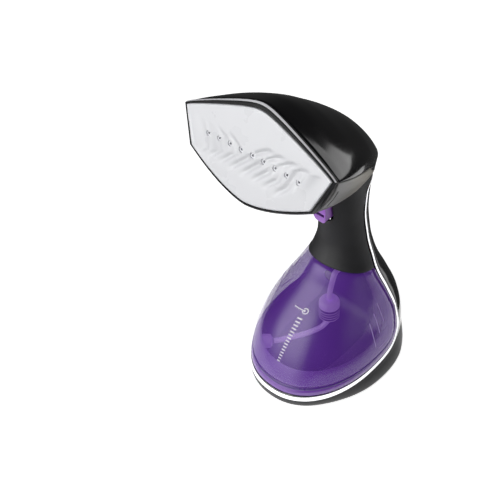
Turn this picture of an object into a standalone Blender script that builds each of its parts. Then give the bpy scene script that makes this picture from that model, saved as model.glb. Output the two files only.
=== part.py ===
"""Handheld garment steamer with a removable water tank.

Frame: origin at the bottom centre, +Z up, steam leaves towards -Y, +X is the right-hand side.
All sizes below are millimetres. The meshes are made in metres.
"""

import math

import bmesh
import bpy
from mathutils import Vector

MM = 0.001
GAP = 0.3
WALL = 2.4

# Body: rows of height, front y, rear y, half width and squareness of the section.
BODY_SECTIONS = [
    (0.0, -62.0, 74.0, 49.5, 2.15),
    (7.0, -62.5, 76.0, 52.0, 2.2),
    (16.0, -60.5, 76.5, 52.5, 2.2),
    (30.0, -56.0, 76.0, 52.0, 2.15),
    (50.0, -47.0, 72.5, 47.5, 2.15),
    (70.0, -34.0, 65.0, 39.0, 2.1),
    (88.0, -15.0, 57.0, 30.0, 2.0),
    (104.0, 2.0, 51.0, 23.8, 2.0),
    (122.0, 7.0, 47.0, 19.8, 2.0),
    (145.0, 5.0, 45.5, 18.0, 2.0),
    (165.0, 2.0, 48.0, 18.0, 2.0),
    (180.0, 0.0, 50.8, 18.6, 2.0),
    (200.0, -2.0, 54.0, 19.8, 2.0),
]
# Seams run along level lines, which climb or fall towards the rear: rows of level and rise at the rear.
LEVEL_RISE = [
    (0.0, 0.0),
    (3.0, 5.0),
    (11.0, 14.0),
    (24.0, 12.0),
    (58.0, 0.0),
    (101.0, -16.0),
    (150.0, -8.0),
    (195.0, -20.0),
]
# The trim's line up the side: rows of level and angle from the front.
TRIM_ANGLES = [
    (0.0, 117.0),
    (31.0, 117.0),
    (50.0, 118.5),
    (75.0, 118.0),
    (93.0, 115.5),
    (112.0, 108.5),
    (128.0, 104.0),
    (151.0, 103.0),
    (170.0, 106.0),
    (200.0, 106.0),
]
TRIM_HALF_WIDTHS = [(0.0, 2.5), (12.0, 2.5), (45.0, 1.9), (120.0, 1.6), (200.0, 1.6)]
FOOT_FLARE = [(0.0, 0.0), (45.0, 0.2), (60.0, 1.4), (72.0, 3.4), (84.0, 5.4), (96.0, 6.6), (108.0, 7.0), (126.0, 4.4)]
FOOT_FLARE += [(150.0, 1.4), (180.0, 0.4)]
TRIM_LEVEL = 10.8
TRIM_CORNER = 19.0
ARCH_START = 168.0
ARCH_TOP = 188.0

TANK_TOP = 101.5
TANK_WALL = 2.2
RIM_WIDTHS = [(0.0, 7.5), (14.0, 7.5), (45.0, 2.2), (120.0, 1.6)]
# The grip's upper rim: rows of degrees from the front and height.
GRIP_RIM = [(0.0, 197.0), (80.0, 194.0), (100.0, 189.5), (125.0, 181.0), (150.0, 177.0), (180.0, 175.6)]

# Head: n runs back from the soleplate, v up along it, u to the side.
PLATE_TILT = math.radians(19.0)
PLATE_CENTRE = Vector((0.0, -65.5, 245.7))
HEAD_LENGTH = 132.0
HEAD_HALF_WIDTH = 63.4
PANEL_END_TOP = 62.0
PANEL_END_LOW = 103.0
TUCK_END = 110.0
SHOULDER_V = [(0.0, 11.5), (55.0, 1.5), (110.0, -11.5), (132.0, -22.0)]
PANEL_LOW_V = [(0.0, -14.5), (110.0, -20.0), (132.0, -22.0)]
ROOF_V = [(0.0, 35.6), (18.0, 35.3), (36.0, 32.2), (52.0, 27.3), (70.0, 21.2), (85.0, 14.6), (100.0, 4.0)]
ROOF_V += [(118.0, -12.0), (132.0, -22.0)]
KEEL_V = [(0.0, -34.0), (30.0, -31.0), (70.0, -28.0), (110.0, -26.0)]
PLATE_INSET = 2.4
SHELL_START = 3.2
STEAM_HOLES = 9
HOLE_HALF_SPAN = 38.2
HOLE_RADIUS = 1.5

TRIGGER_PIVOT = Vector((0.0, 14.0, 174.0))
SIDE = Vector((1.0, 0.0, 0.0))
BACK = Vector((0.0, 1.0, 0.0))
UP = Vector((0.0, 0.0, 1.0))
LEVER_PIVOT = Vector((0.0, 13.5, 146.5))
PLUG_X = -22.0
PLUG_Z = 46.0
DOCK_Z = 80.0
GLAND_Z = 30.0

FOOT_PLACES = [(34.0, -22.0), (-34.0, -22.0), (34.0, 48.0), (-34.0, 48.0)]

AROUND = 22

COLOURS = {
    "glossy_black": ((0.012, 0.012, 0.014), 0.12, 0.0),
    "matte_black": ((0.018, 0.018, 0.020), 0.5, 0.0),
    "base_grey": ((0.045, 0.045, 0.048), 0.4, 0.0),
    "gunmetal": ((0.16, 0.15, 0.14), 0.32, 0.8),
    "chrome": ((0.80, 0.80, 0.82), 0.08, 1.0),
    "ceramic_white": ((0.78, 0.79, 0.81), 0.22, 0.0),
    "tank_purple": ((0.20, 0.06, 0.42), 0.08, 0.0),
    "trigger_purple": ((0.38, 0.16, 0.62), 0.35, 0.0),
    "silicone": ((0.70, 0.62, 0.78), 0.45, 0.0),
    "inner_black": ((0.03, 0.03, 0.03), 0.6, 0.0),
    "aluminium": ((0.60, 0.60, 0.60), 0.4, 1.0),
    "steel": ((0.55, 0.55, 0.56), 0.25, 1.0),
    "brass": ((0.62, 0.48, 0.22), 0.3, 1.0),
    "copper": ((0.55, 0.25, 0.12), 0.4, 1.0),
    "board_green": ((0.03, 0.16, 0.07), 0.5, 0.0),
    "rubber": ((0.02, 0.02, 0.02), 0.8, 0.0),
    "red_silicone": ((0.45, 0.08, 0.05), 0.6, 0.0),
    "mica": ((0.50, 0.42, 0.30), 0.6, 0.0),
}


# Curves through rows of numbers


def curve_through(rows, column=1):
    """Monotone cubic through rows of (key, value, ...)."""
    keys = [row[0] for row in rows]
    values = [row[column] for row in rows]
    last = len(rows) - 1
    slopes = [(values[i + 1] - values[i]) / (keys[i + 1] - keys[i]) for i in range(last)]
    tangents = [slopes[0]]
    for before, after in zip(slopes, slopes[1:]):
        turns = before * after <= 0
        tangents.append(0.0 if turns else 2 * before * after / (before + after))
    tangents.append(slopes[-1])

    def value_at(key):
        key = min(max(key, keys[0]), keys[-1])
        i = max(k for k in range(last) if keys[k] <= key)
        span = keys[i + 1] - keys[i]
        t = (key - keys[i]) / span
        return (
            values[i] * (1 + 2 * t) * (1 - t) ** 2
            + tangents[i] * span * t * (1 - t) ** 2
            + values[i + 1] * t * t * (3 - 2 * t)
            + tangents[i + 1] * span * t * t * (t - 1)
        )

    return value_at


front_y = curve_through(BODY_SECTIONS, 1)
rear_y = curve_through(BODY_SECTIONS, 2)
half_width = curve_through(BODY_SECTIONS, 3)
squareness = curve_through(BODY_SECTIONS, 4)
level_rise = curve_through(LEVEL_RISE)
trim_degrees = curve_through(TRIM_ANGLES)
trim_half = curve_through(TRIM_HALF_WIDTHS)
rim_width = curve_through(RIM_WIDTHS)
grip_rim = curve_through(GRIP_RIM)
shoulder_v = curve_through(SHOULDER_V)
panel_low_v = curve_through(PANEL_LOW_V)
roof_v = curve_through(ROOF_V)
foot_flare = curve_through(FOOT_FLARE)
keel_v = curve_through(KEEL_V)


def spread(start, end, count):
    """count values from start to end, both included."""
    return [start + (end - start) * i / (count - 1) for i in range(count)]


def mix(a, b, t):
    return a + (b - a) * t


def smooth(t):
    """Soft step from 0 to 1 as t goes from 0 to 1."""
    t = min(max(t, 0.0), 1.0)
    return t * t * (3 - 2 * t)


# The body's skin and the seam lines on it


def signed_power(value, exponent):
    return math.copysign(abs(value) ** exponent, value)


def body_point(z, angle, inset=0.0):
    """Point of the body's skin at a height and an angle from the front, moved inwards by inset."""
    exponent = 2.0 / squareness(z)
    half_depth = (rear_y(z) - front_y(z)) / 2
    centre = (rear_y(z) + front_y(z)) / 2
    x = (half_width(z) - inset) * signed_power(math.sin(angle), exponent)
    y = centre - (half_depth - inset) * signed_power(math.cos(angle), exponent)
    return Vector((x, y, z))


def skin(level, angle, inset=0.0):
    height = level + level_rise(level) * (1 - math.cos(angle)) / 2
    return body_point(height, angle, inset)


def girth(level):
    """Millimetres along the skin for a radian of angle, near the trim."""
    return (rear_y(level) - front_y(level)) / 2


def corner_cut(level, bottom, corner):
    drop = bottom + corner - level
    if drop <= 0:
        return 0.0
    return corner - math.sqrt(max(corner * corner - drop * drop, 0.0))


def seam_angle(level, shift):
    """Angle of a line that follows the trim's middle line, shift millimetres towards the tank."""
    bottom = TRIM_LEVEL + shift
    corner = TRIM_CORNER - shift
    angle = math.radians(trim_degrees(level))
    angle -= (shift + corner_cut(level, bottom, corner)) / girth(level)
    if level > ARCH_START:
        t = min((level - ARCH_START) / (ARCH_TOP + shift - ARCH_START), 1.0)
        angle += (math.pi - angle) * (1 - math.sqrt(1 - t * t))
    return angle


def trim_line(count_band, count_corner, count_side):
    """(level, angle) along the trim's middle line, from the front centre up to the side of the neck."""
    flat_end = seam_angle(TRIM_LEVEL, 0.0)
    line = [(TRIM_LEVEL, angle) for angle in spread(0.0, flat_end, count_band)]
    corner_top = TRIM_LEVEL + TRIM_CORNER
    for turn in spread(0.0, math.pi / 2, count_corner)[1:]:
        level = TRIM_LEVEL + TRIM_CORNER * (1 - math.cos(turn))
        line.append((level, seam_angle(level, 0.0)))
    for level in spread(corner_top, ARCH_START, count_side)[1:]:
        line.append((level, seam_angle(level, 0.0)))
    return line


# The head's skin


def head_point(u, n, v):
    y = PLATE_CENTRE.y + n * math.cos(PLATE_TILT) + v * math.sin(PLATE_TILT)
    z = PLATE_CENTRE.z - n * math.sin(PLATE_TILT) + v * math.cos(PLATE_TILT)
    return Vector((u, y, z))


def shoulder_u(n):
    along = min(max(n / HEAD_LENGTH, 0.0), 1.0)
    return HEAD_HALF_WIDTH * (1 - along**1.5) ** 0.75


def panel_low_u(n):
    return shoulder_u(n) - 10.0 * (1 - n / TUCK_END)


def roof_shape(n, across):
    """Height share of the roof from shoulder to ridge: a soft hip in front, an arch behind."""
    width = max(shoulder_u(n), 0.01)
    apex = 10.0 + n / 6
    reach = math.hypot(width, apex) - apex
    hip = 1 - (math.hypot(across * width, apex) - apex) / reach
    arch = math.sqrt(max(1 - across * across, 0.0))
    front_rise = 0.10 * smooth(n / 10) * (1 - smooth((n - 20) / 30))
    share = min(0.86, 0.12 + max(n, 0.0) / 90 + front_rise)
    return mix(hip, arch, share)


def roof_point(n, turn, inset=0.0):
    """Point of the top shell: turn runs from -pi/2 at the left shoulder to pi/2 at the right one."""
    across = math.sin(turn)
    scale = 1 - inset / max(shoulder_u(n), inset + 0.01)
    u = shoulder_u(n) * across * scale
    rise = max(roof_v(n) - inset * 1.1 - shoulder_v(n), 0.0)
    return head_point(u, n, shoulder_v(n) + rise * roof_shape(n, across))


def head_outline(shrink, arc=8):
    """Closed outline of the head's front as (u, v) pairs, starting at the right shoulder."""
    shoulder = shoulder_v(0.0) - 0.3 * shrink
    ridge = roof_v(0.0) - shrink
    low_corner = (panel_low_u(0.0) - 0.9 * shrink, panel_low_v(0.0) + 0.4 * shrink)
    bottom = keel_v(0.0) + shrink
    top = []
    for turn in spread(math.pi / 2, -math.pi / 2, 2 * arc + 1):
        across = math.sin(turn)
        top.append(((HEAD_HALF_WIDTH - shrink) * across, mix(shoulder, ridge, roof_shape(0.0, across))))
    low = [low_corner]
    for t in (0.12, 0.3, 0.5, 0.7, 0.85):
        low.append((mix(low_corner[0], 0.0, t), mix(low_corner[1], bottom, 1 - (1 - t) ** 1.6)))
    left_low = [(-u, v) for u, v in low]
    return top + left_low + [(0.0, bottom)] + low[::-1]


# Making solids


def material_of(name):
    found = bpy.data.materials.get(name)
    if found:
        return found
    colour, roughness, metallic = COLOURS[name]
    material = bpy.data.materials.new(name)
    material.use_nodes = True
    shader = material.node_tree.nodes["Principled BSDF"]
    shader.inputs["Base Color"].default_value = (*colour, 1.0)
    shader.inputs["Roughness"].default_value = roughness
    shader.inputs["Metallic"].default_value = metallic
    material.diffuse_color = (*colour, 1.0)
    return material


def solid(name, polygons, colour, pivot=Vector((0, 0, 0))):
    """One object from polygons given as lists of points, with shared points joined."""
    mesh = bpy.data.meshes.new(name)
    build = bmesh.new()
    corners = {}
    for polygon in polygons:
        ring = []
        for point in polygon:
            key = tuple(round(value, 3) for value in point)
            if key not in corners:
                corners[key] = build.verts.new((Vector(key) - pivot) * MM)
            if corners[key] not in ring:
                ring.append(corners[key])
        if len(ring) > 2 and not build.faces.get(ring):
            build.faces.new(ring)
    bmesh.ops.recalc_face_normals(build, faces=build.faces)
    build.to_mesh(mesh)
    build.free()
    mesh.shade_smooth()
    mesh.set_sharp_from_angle(angle=math.radians(35))
    thing = bpy.data.objects.new(name, mesh)
    thing.location = pivot * MM
    thing.data.materials.append(material_of(colour))
    bpy.context.collection.objects.link(thing)
    return thing


def loft(name, rings, colour, closed=False, pivot=Vector((0, 0, 0))):
    """Solid through closed rings of equal length, with flat ends, or joined end to start."""
    polygons = []
    pairs = list(zip(rings, rings[1:]))
    if closed:
        pairs.append((rings[-1], rings[0]))
    else:
        polygons += [rings[0][::-1], rings[-1]]
    for low, high in pairs:
        for i in range(len(low)):
            j = (i + 1) % len(low)
            polygons.append([low[i], low[j], high[j], high[i]])
    return solid(name, polygons, colour, pivot)


def sheet(name, outer, inner, colour, open_start=False, pivot=Vector((0, 0, 0))):
    """Solid between two grids of points, closed round their edges."""
    polygons = []
    rows = len(outer)
    columns = len(outer[0])
    for grid in (outer, inner):
        for i in range(rows - 1):
            for j in range(columns - 1):
                polygons.append([grid[i][j], grid[i][j + 1], grid[i + 1][j + 1], grid[i + 1][j]])
    for j in range(columns - 1):
        edges = [rows - 1] if open_start else [0, rows - 1]
        for i in edges:
            polygons.append([outer[i][j], outer[i][j + 1], inner[i][j + 1], inner[i][j]])
    for i in range(rows - 1):
        for j in (0, columns - 1):
            polygons.append([outer[i][j], outer[i + 1][j], inner[i + 1][j], inner[i][j]])
    return solid(name, polygons, colour, pivot)


def frame_of(axis):
    axis = axis.normalized()
    helper = SIDE if abs(axis.x) < 0.9 else BACK
    side = axis.cross(helper).normalized()
    return side, axis.cross(side)


def circle(centre, axis, radius, count=16):
    side, up = frame_of(axis)
    turns = [2 * math.pi * i / count for i in range(count)]
    return [centre + side * (radius * math.cos(t)) + up * (radius * math.sin(t)) for t in turns]


def turned(name, base, axis, profile, colour, count=16, closed=False, pivot=Vector((0, 0, 0))):
    """Round solid from (distance along axis, radius) pairs. closed makes a ring with a bore."""
    axis = axis.normalized()
    rings = [circle(base + axis * along, axis, radius, count) for along, radius in profile]
    return loft(name, rings, colour, closed, pivot)


def box(name, low, high, colour, bevel=0.0, pivot=Vector((0, 0, 0))):
    depths = (low[1], high[1])
    corners = [Vector((x, y, z)) for z in (low[2], high[2]) for y in depths for x in (low[0], high[0])]
    sides = [(0, 1, 3, 2), (4, 6, 7, 5), (0, 4, 5, 1), (2, 3, 7, 6), (0, 2, 6, 4), (1, 5, 7, 3)]
    thing = solid(name, [[corners[i] for i in side] for side in sides], colour, pivot)
    if bevel:
        rounding = thing.modifiers.new("edges", "BEVEL")
        rounding.width = bevel * MM
        rounding.segments = 2
    return thing


def extruded(name, outline, axis, low, high, colour, bevel=0.0, pivot=Vector((0, 0, 0))):
    """Solid from an outline of points at axis value 0, swept from low to high along axis."""
    rings = [[p + axis * reach for p in outline] for reach in (low, high)]
    thing = loft(name, rings, colour, False, pivot)
    if bevel:
        rounding = thing.modifiers.new("edges", "BEVEL")
        rounding.width = bevel * MM
        rounding.segments = 2
        rounding.limit_method = "ANGLE"
    return thing


def smooth_route(points, count):
    """Catmull-Rom curve through a route's points."""
    padded = [points[0] * 2 - points[1]] + points + [points[-1] * 2 - points[-2]]
    route = []
    for s in spread(0.0, len(points) - 1.0, count):
        i = min(int(s), len(points) - 2)
        t = s - i
        a, b, c, d = padded[i : i + 4]
        route.append(
            0.5 * (2 * b + (c - a) * t + (2 * a - 5 * b + 4 * c - d) * t * t + (3 * b - a - 3 * c + d) * t**3)
        )
    return route


def pipe(name, points, radius, colour, count=20, sides=8, bore=0.0):
    """Tube along a smooth route, solid or with a bore."""
    route = smooth_route([Vector(point) for point in points], count)
    outer = []
    inner = []
    side = None
    for i, point in enumerate(route):
        along = (route[min(i + 1, count - 1)] - route[max(i - 1, 0)]).normalized()
        side = frame_of(along)[0] if side is None else (side - along * side.dot(along)).normalized()
        up = along.cross(side)
        turns = [2 * math.pi * k / sides for k in range(sides)]
        outer.append([point + side * (radius * math.cos(t)) + up * (radius * math.sin(t)) for t in turns])
        inner.append([point + side * (bore * math.cos(t)) + up * (bore * math.sin(t)) for t in turns])
    if not bore:
        return loft(name, outer, colour)
    return loft(name, outer + inner[::-1], colour, closed=True)


def u_outline(radius, height):
    """U shape across the front: round below, straight sides up to the head, round part centred at height."""
    turns = [math.radians(a) for a in spread(180.0, 360.0, 13)]
    outline = [Vector((radius * math.cos(t), 0, height + radius * math.sin(t))) for t in turns]
    return outline + [Vector((radius, 0, 180.0)), Vector((-radius, 0, 180.0))]


def carve(thing, cutter, operation="DIFFERENCE"):
    cutter.hide_render = True
    cutter.display_type = "WIRE"
    change = thing.modifiers.new("carve", "BOOLEAN")
    change.operation = operation
    change.object = cutter
    change.solver = "EXACT"


# Tank


def wall_y(z):
    """Where the tank's flat rear wall lies at a height."""
    levels = spread(40.0, TANK_TOP, 64)
    points = [skin(level, seam_angle(level, trim_half(level) + GAP)) for level in levels]
    return min(points, key=lambda point: abs(point.z - z)).y


def chord(right, count):
    """count points across from a right-hand point to its mirror image."""
    return [Vector((x, right.y, right.z)) for x in spread(right.x, -right.x, count)]


def build_tank_shell():
    bottom = TRIM_LEVEL + trim_half(TRIM_LEVEL) + GAP + rim_width(TRIM_LEVEL) + GAP

    def row(level, inset):
        shift = trim_half(level) + GAP + rim_width(level) + 5 * GAP
        reach = seam_angle(max(level, bottom), shift)
        return [skin(level, angle, inset) for angle in spread(-reach, reach, AROUND + 1)]

    levels = [bottom + (TANK_TOP - bottom) * t for t in (0, 0.03, 0.08, 0.16, 0.27, 0.4, 0.54, 0.68, 0.84, 1)]
    outer = [row(level, 0.0) for level in levels]
    inner = [row(level, TANK_WALL) for level in levels[:-1]] + [row(TANK_TOP - TANK_WALL, TANK_WALL)]
    for grid in (outer, inner):
        last = grid[-1]
        start, end = last[0], last[-1]
        for t in (0.4, 0.75, 1.0):
            grid.append([p.lerp(start.lerp(end, i / AROUND), t) for i, p in enumerate(last)])
    return sheet("tank_shell", outer, inner, "tank_purple")


def build_tank_back():
    outer = []
    inner = []
    line = trim_line(10, 7, 22)
    places = [(level, angle) for level, angle in line if level < TANK_TOP - 1.0]
    places.append((TANK_TOP - 1.0, seam_angle(TANK_TOP - 1.0, 0.0)))
    flat_end = seam_angle(TRIM_LEVEL, 0.0)

    def shifted(level, angle, shift, inset=0.0):
        """The place on a line shift millimetres inside the trim's line, next to (level, angle) on it."""
        if level <= TRIM_LEVEL + 0.001:
            own_end = seam_angle(TRIM_LEVEL + shift, shift)
            return skin(TRIM_LEVEL + shift, angle * own_end / flat_end, inset)
        climb = min((level - TRIM_LEVEL) / TRIM_CORNER, 1.0)
        own_level = level if climb >= 1.0 else TRIM_LEVEL + shift + climb * (TRIM_CORNER - shift)
        return skin(own_level, seam_angle(own_level, shift), inset)

    for level, angle in places:
        edge_shift = trim_half(level) + GAP
        top_shift = edge_shift + rim_width(level)
        edge = shifted(level, angle, edge_shift)
        rim = shifted(level, angle, top_shift)
        rim_in = shifted(level, angle, top_shift, TANK_WALL)
        edge_in = shifted(level, angle, edge_shift + TANK_WALL, TANK_WALL)
        across = chord(edge, 7)
        across_in = chord(edge_in, 7)
        outer.append([rim] + across + [Vector((-rim.x, rim.y, rim.z))])
        inner.append([rim_in] + across_in + [Vector((-rim_in.x, rim_in.y, rim_in.z))])
    back = sheet("tank_back", outer, inner, "tank_purple", open_start=True)
    spigot_y = wall_y(DOCK_Z)
    hole = turned("spigot_hole", Vector((0, spigot_y - 12, DOCK_Z)), BACK, [(0, 3.9), (24, 3.9)], "chrome")
    mouth_start = Vector((PLUG_X, wall_y(PLUG_Z) - 8, PLUG_Z))
    mouth = turned("filler_mouth", mouth_start, BACK, [(0, 5.6), (16, 5.6)], "chrome")
    carve(back, hole)
    carve(back, mouth)
    return back


def build_tank_fittings():
    y = wall_y(DOCK_Z)
    turned(
        "tank_spigot",
        Vector((0, y - 9, DOCK_Z)),
        BACK,
        [(0, 2.6), (0, 3.6), (17, 3.6), (17, 2.0), (4, 2.0), (4, 2.6)],
        "silicone",
        closed=True,
    )
    pipe(
        "tank_tube_upper",
        [(0, y - 9.4, DOCK_Z), (0, y - 14, DOCK_Z), (1.5, 15, DOCK_Z + 1), (7, 4, 78.5)]
        + [(9, 0, 75), (9, 0, 70.6)],
        2.2,
        "silicone",
        count=12,
        sides=5,
    )
    ribs = [(0.0, 5.5), (1.5, 7.8)]
    for i in range(4):
        ribs += [(2.5 + 2.6 * i, 8.3), (3.8 + 2.6 * i, 7.7)]
    ribs += [(15.0, 8.3), (18.5, 8.0), (20.0, 5.8)]
    turned("filter_cartridge", Vector((9, 0, 50)), UP, ribs, "silicone", 12)
    pipe(
        "tank_tube_lower",
        [(9, -1, 48.8), (8.4, -2, 45), (5, -7, 39), (-4, -17, 33), (-16, -29, 28), (-20.4, -33.7, 27.2)],
        2.2,
        "silicone",
        count=12,
        sides=5,
    )
    turned(
        "strainer_weight",
        Vector((-21.4, -34.6, 27.1)),
        Vector((-0.75, -0.66, -0.02)),
        [(0, 3.6), (1.2, 5.6), (6.5, 5.8), (9.0, 4.6), (10.0, 2.5)],
        "silicone",
        count=14,
    )
    plug_y = wall_y(PLUG_Z)
    turned(
        "filler_plug",
        Vector((PLUG_X, plug_y, PLUG_Z)),
        BACK,
        [(-4.0, 3.8), (-3.2, 5.2), (0.8, 5.2), (0.8, 7.4), (1.6, 7.8), (2.4, 7.2), (2.4, 3.0)],
        "rubber",
    )


# Housing


def build_tank_bay():
    places = [(level, angle) for level, angle in trim_line(10, 7, 26) if level < TANK_TOP - 2.0]
    places.append((TANK_TOP - 2.0, seam_angle(TANK_TOP - 2.0, 0.0)))
    face = []
    for level, angle in places:
        face.append(skin(level, angle, 2.9))
    outer = []
    inner = []
    for i, point in enumerate(face):
        ahead = face[min(i + 1, len(face) - 1)]
        behind = face[max(i - 1, 0)]
        slope = Vector((0, ahead.y - behind.y, ahead.z - behind.z))
        slope = slope.normalized() if slope.length > 0.5 else BACK
        normal = Vector((0, -slope.z, slope.y))
        outer.append(chord(point + normal * 0.3, 5))
        inner.append(chord(point - normal * 1.5, 5))
    bay = sheet("tank_bay", outer[1:], inner[1:], "inner_black")
    dock_y = wall_y(DOCK_Z)
    hole = turned("dock_hole", Vector((0, dock_y - 10, DOCK_Z)), BACK, [(0, 8.3), (30, 8.3)], "chrome")
    carve(bay, hole)
    plug_y = wall_y(PLUG_Z)
    pocket = turned(
        "plug_pocket", Vector((PLUG_X, plug_y - 4, PLUG_Z)), BACK, [(0, 9.2), (20, 9.2)], "chrome"
    )
    carve(bay, pocket)
    return bay


def build_base_foot():
    top = TRIM_LEVEL - trim_half(TRIM_LEVEL) - GAP
    turns = [2 * math.pi * i / 32 for i in range(32)]

    flares = [foot_flare(math.degrees(min(turn, 2 * math.pi - turn))) for turn in turns]

    def ring(level, inset, share=0.0):
        return [skin(level, turn, inset - share * flare) for turn, flare in zip(turns, flares)]

    def flat(height, inset, share):
        return [body_point(height, turn, inset - share * flare) for turn, flare in zip(turns, flares)]

    rings = [flat(1.2, 1.8, 1.0), flat(1.8, 0.4, 1.0), ring(2.6, 0.0, 0.8), ring(5.2, 0.0, 0.4), ring(top, 0.0)]
    rings += [ring(top, WALL), ring(3.4, WALL), flat(3.4, WALL + 2.0, 0.85)]
    foot = loft("base_foot", rings, "base_grey")
    for i, (x, y) in enumerate(FOOT_PLACES):
        hole = turned(f"screw_hole_{i + 1}", Vector((x, y, 0.5)), UP, [(0, 2.0), (4, 2.0)], "chrome", 12)
        carve(foot, hole)
    return foot


def build_feet():
    for i, (x, y) in enumerate(FOOT_PLACES):
        turned(
            f"foot_pad_{i + 1}",
            Vector((x, y, 0)),
            UP,
            [(0, 5.0), (0.3, 5.5), (0.9, 5.5)],
            "rubber",
            12,
        )
        turned(
            f"base_screw_{i + 1}",
            Vector((x, y, 1.3)),
            UP,
            [(0, 1.5), (2.4, 1.5), (2.4, 1.4), (6.0, 1.4), (6.8, 0.6)],
            "steel",
            8,
        )


def build_chrome_trim():
    right = trim_line(11, 7, 20)
    for turn in spread(0.0, math.pi / 2, 6)[1:]:
        level = ARCH_START + (ARCH_TOP - ARCH_START) * math.sin(turn)
        right.append((level, seam_angle(level, 0.0) if turn < 1.57 else math.pi))
    left = [(level, -angle) for level, angle in right[1:-1]]
    path = right + left[::-1]
    points = [skin(level, angle) for level, angle in path]
    rings = []
    for i, (level, angle) in enumerate(path):
        along = (points[(i + 1) % len(points)] - points[i - 1]).normalized()
        step = 0.02
        by_angle = skin(level, angle + step) - skin(level, angle - step)
        by_level = skin(level + 1, angle) - skin(level - 1, angle)
        normal = by_angle.cross(by_level).normalized()
        across = normal.cross(along).normalized()
        half = trim_half(level)
        profile = [(-half + 0.6, -0.8), (-half, 0.3), (-half / 2, 0.8)]
        profile += [(half / 2, 0.8), (half, 0.3), (half - 0.6, -0.8)]
        rings.append([points[i] + across * a + normal * b for a, b in profile])
    return loft("chrome_trim", rings, "chrome", closed=True)


def build_rear_cover():
    bottom = TRIM_LEVEL - trim_half(TRIM_LEVEL) + 2 * GAP
    levels = [bottom, 10.5, 14, 19, 25, 33, 46, 62, 80, 98, 118, 140, 158, 169, 177, 183]

    def row(level, inset):
        start = seam_angle(level, -trim_half(level) - 2 * GAP)
        return [skin(level, angle, inset) for angle in spread(start, 2 * math.pi - start, 15)]

    outer, inner = ([row(level, inset) for level in levels] for inset in (0.0, WALL))
    cover = sheet("rear_cover", outer, inner, "glossy_black")
    rear = body_point(GLAND_Z, math.pi).y
    hole = turned("gland_hole", Vector((0, rear - 10, GLAND_Z)), BACK, [(0, 6.3), (20, 6.3)], "chrome")
    carve(cover, hole)
    return cover


def build_cord_entry():
    rear = body_point(GLAND_Z, math.pi).y
    turned(
        "cord_gland",
        Vector((0, rear, GLAND_Z)),
        BACK,
        [(-6.6, 3.6), (-6.6, 7.6), (-4.8, 7.6), (-4.8, 5.9), (0.4, 5.9), (0.4, 7.6), (1.2, 6.8), (1.2, 3.6)],
        "rubber",
        closed=True,
    )
    box("cord_clamp", (-11, 55, 5), (11, 61, 10), "inner_black", 0.8)


def build_grip_shell():
    over_arch = ARCH_TOP + trim_half(ARCH_TOP) + 3 * GAP
    levels = [TANK_TOP + 2 * GAP, 111, 123, 138, 152, 162, 170, 177, 182, 186, 188.5, over_arch]

    def row(level, inset):
        shift = trim_half(level) + 2.5 * GAP
        reach = min(seam_angle(level, shift), math.radians(179.2))
        return [skin(level, angle, inset) for angle in spread(-reach, reach, AROUND + 1)]

    def rim(inset):
        turns = spread(math.radians(-179.2), math.radians(179.2), AROUND + 1)
        return [body_point(grip_rim(math.degrees(abs(turn))), turn, inset) for turn in turns]

    grids = [[row(level, inset) for level in levels] + [rim(inset)] for inset in (0.0, WALL)]
    grip = sheet("grip_shell", grids[0], grids[1], "matte_black")
    carve(grip, extruded("trigger_slot", u_outline(6.9, 150.8), BACK, -25, 9, "chrome"))
    return grip


# Head


def build_top_shell():
    stations = [SHELL_START, 16, 30, 45, 60, 76, 91, 104, 115, 124, 129, HEAD_LENGTH]
    turns = spread(-math.pi / 2, math.pi / 2, 19)
    outer = [[roof_point(n, turn) for turn in turns] for n in stations]
    inner = [[roof_point(n, turn, WALL) for turn in turns] for n in stations[:-1]]
    inner.append([roof_point(HEAD_LENGTH - 2.6, turn, WALL) for turn in turns])
    return sheet("head_top_shell", outer, inner, "glossy_black")


def panel_point(n, down, inset=0.0):
    """Point of a right-hand side panel: down is 0 at the shoulder and 1 at the lower edge."""
    bulge = 1.6 * math.sin(math.pi * down)
    u = mix(shoulder_u(n), panel_low_u(n), down) + bulge - inset
    v = mix(shoulder_v(n) - 2 * GAP, panel_low_v(n) + GAP, down)
    return head_point(u, n, v)


def panel_station(share, down):
    """Distance back from the plate: share runs from 0 at the front edge to 1 at the slanting rear edge."""
    return mix(SHELL_START, mix(PANEL_END_TOP, PANEL_END_LOW, down), share)


def build_side_panels():
    for name, side in (("side_panel_right", 1), ("side_panel_left", -1)):
        grids = []
        for inset in (0.0, 2.0):
            grid = []
            for share in spread(0.0, 1.0, 12):
                row = [panel_point(panel_station(share, down), down, inset) for down in spread(0.0, 1.0, 6)]
                grid.append([Vector((side * p.x, p.y, p.z)) for p in row])
            grids.append(grid)
        sheet(name, grids[0], grids[1], "gunmetal")


def build_tail_band():
    """Band under the top shell's tail: a wedge behind each side panel that widens down to the grip's rim."""
    right = []
    for n, down in ((66, 0.06), (76, 0.30), (86, 0.54), (96, 0.78), (104, 0.96)):
        low = panel_point(mix(PANEL_END_TOP, PANEL_END_LOW, down) + 3 * GAP, down)
        right.append((head_point(shoulder_u(n), n, shoulder_v(n) - 3 * GAP), low))
    for n, degrees in ((111, 110), (117, 122), (123, 136), (128, 152), (132, 180)):
        low = body_point(grip_rim(degrees) + 3 * GAP, math.radians(degrees))
        right.append((head_point(shoulder_u(n), n, shoulder_v(n) - 3 * GAP), low))
    outer = []
    inner = []
    for top, low in right:
        rows = [top.lerp(low, t) for t in (0.0, 0.5, 1.0)]
        outer.append(rows)
        inner.append([p + (Vector((0, min(p.y, 28), p.z)) - p).normalized() * 2.0 for p in rows])
    for grid in (outer, inner):
        grid += [[Vector((-p.x, p.y, p.z)) for p in row] for row in grid[-2::-1]]
    sheet("tail_band", outer, inner, "glossy_black")


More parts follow.
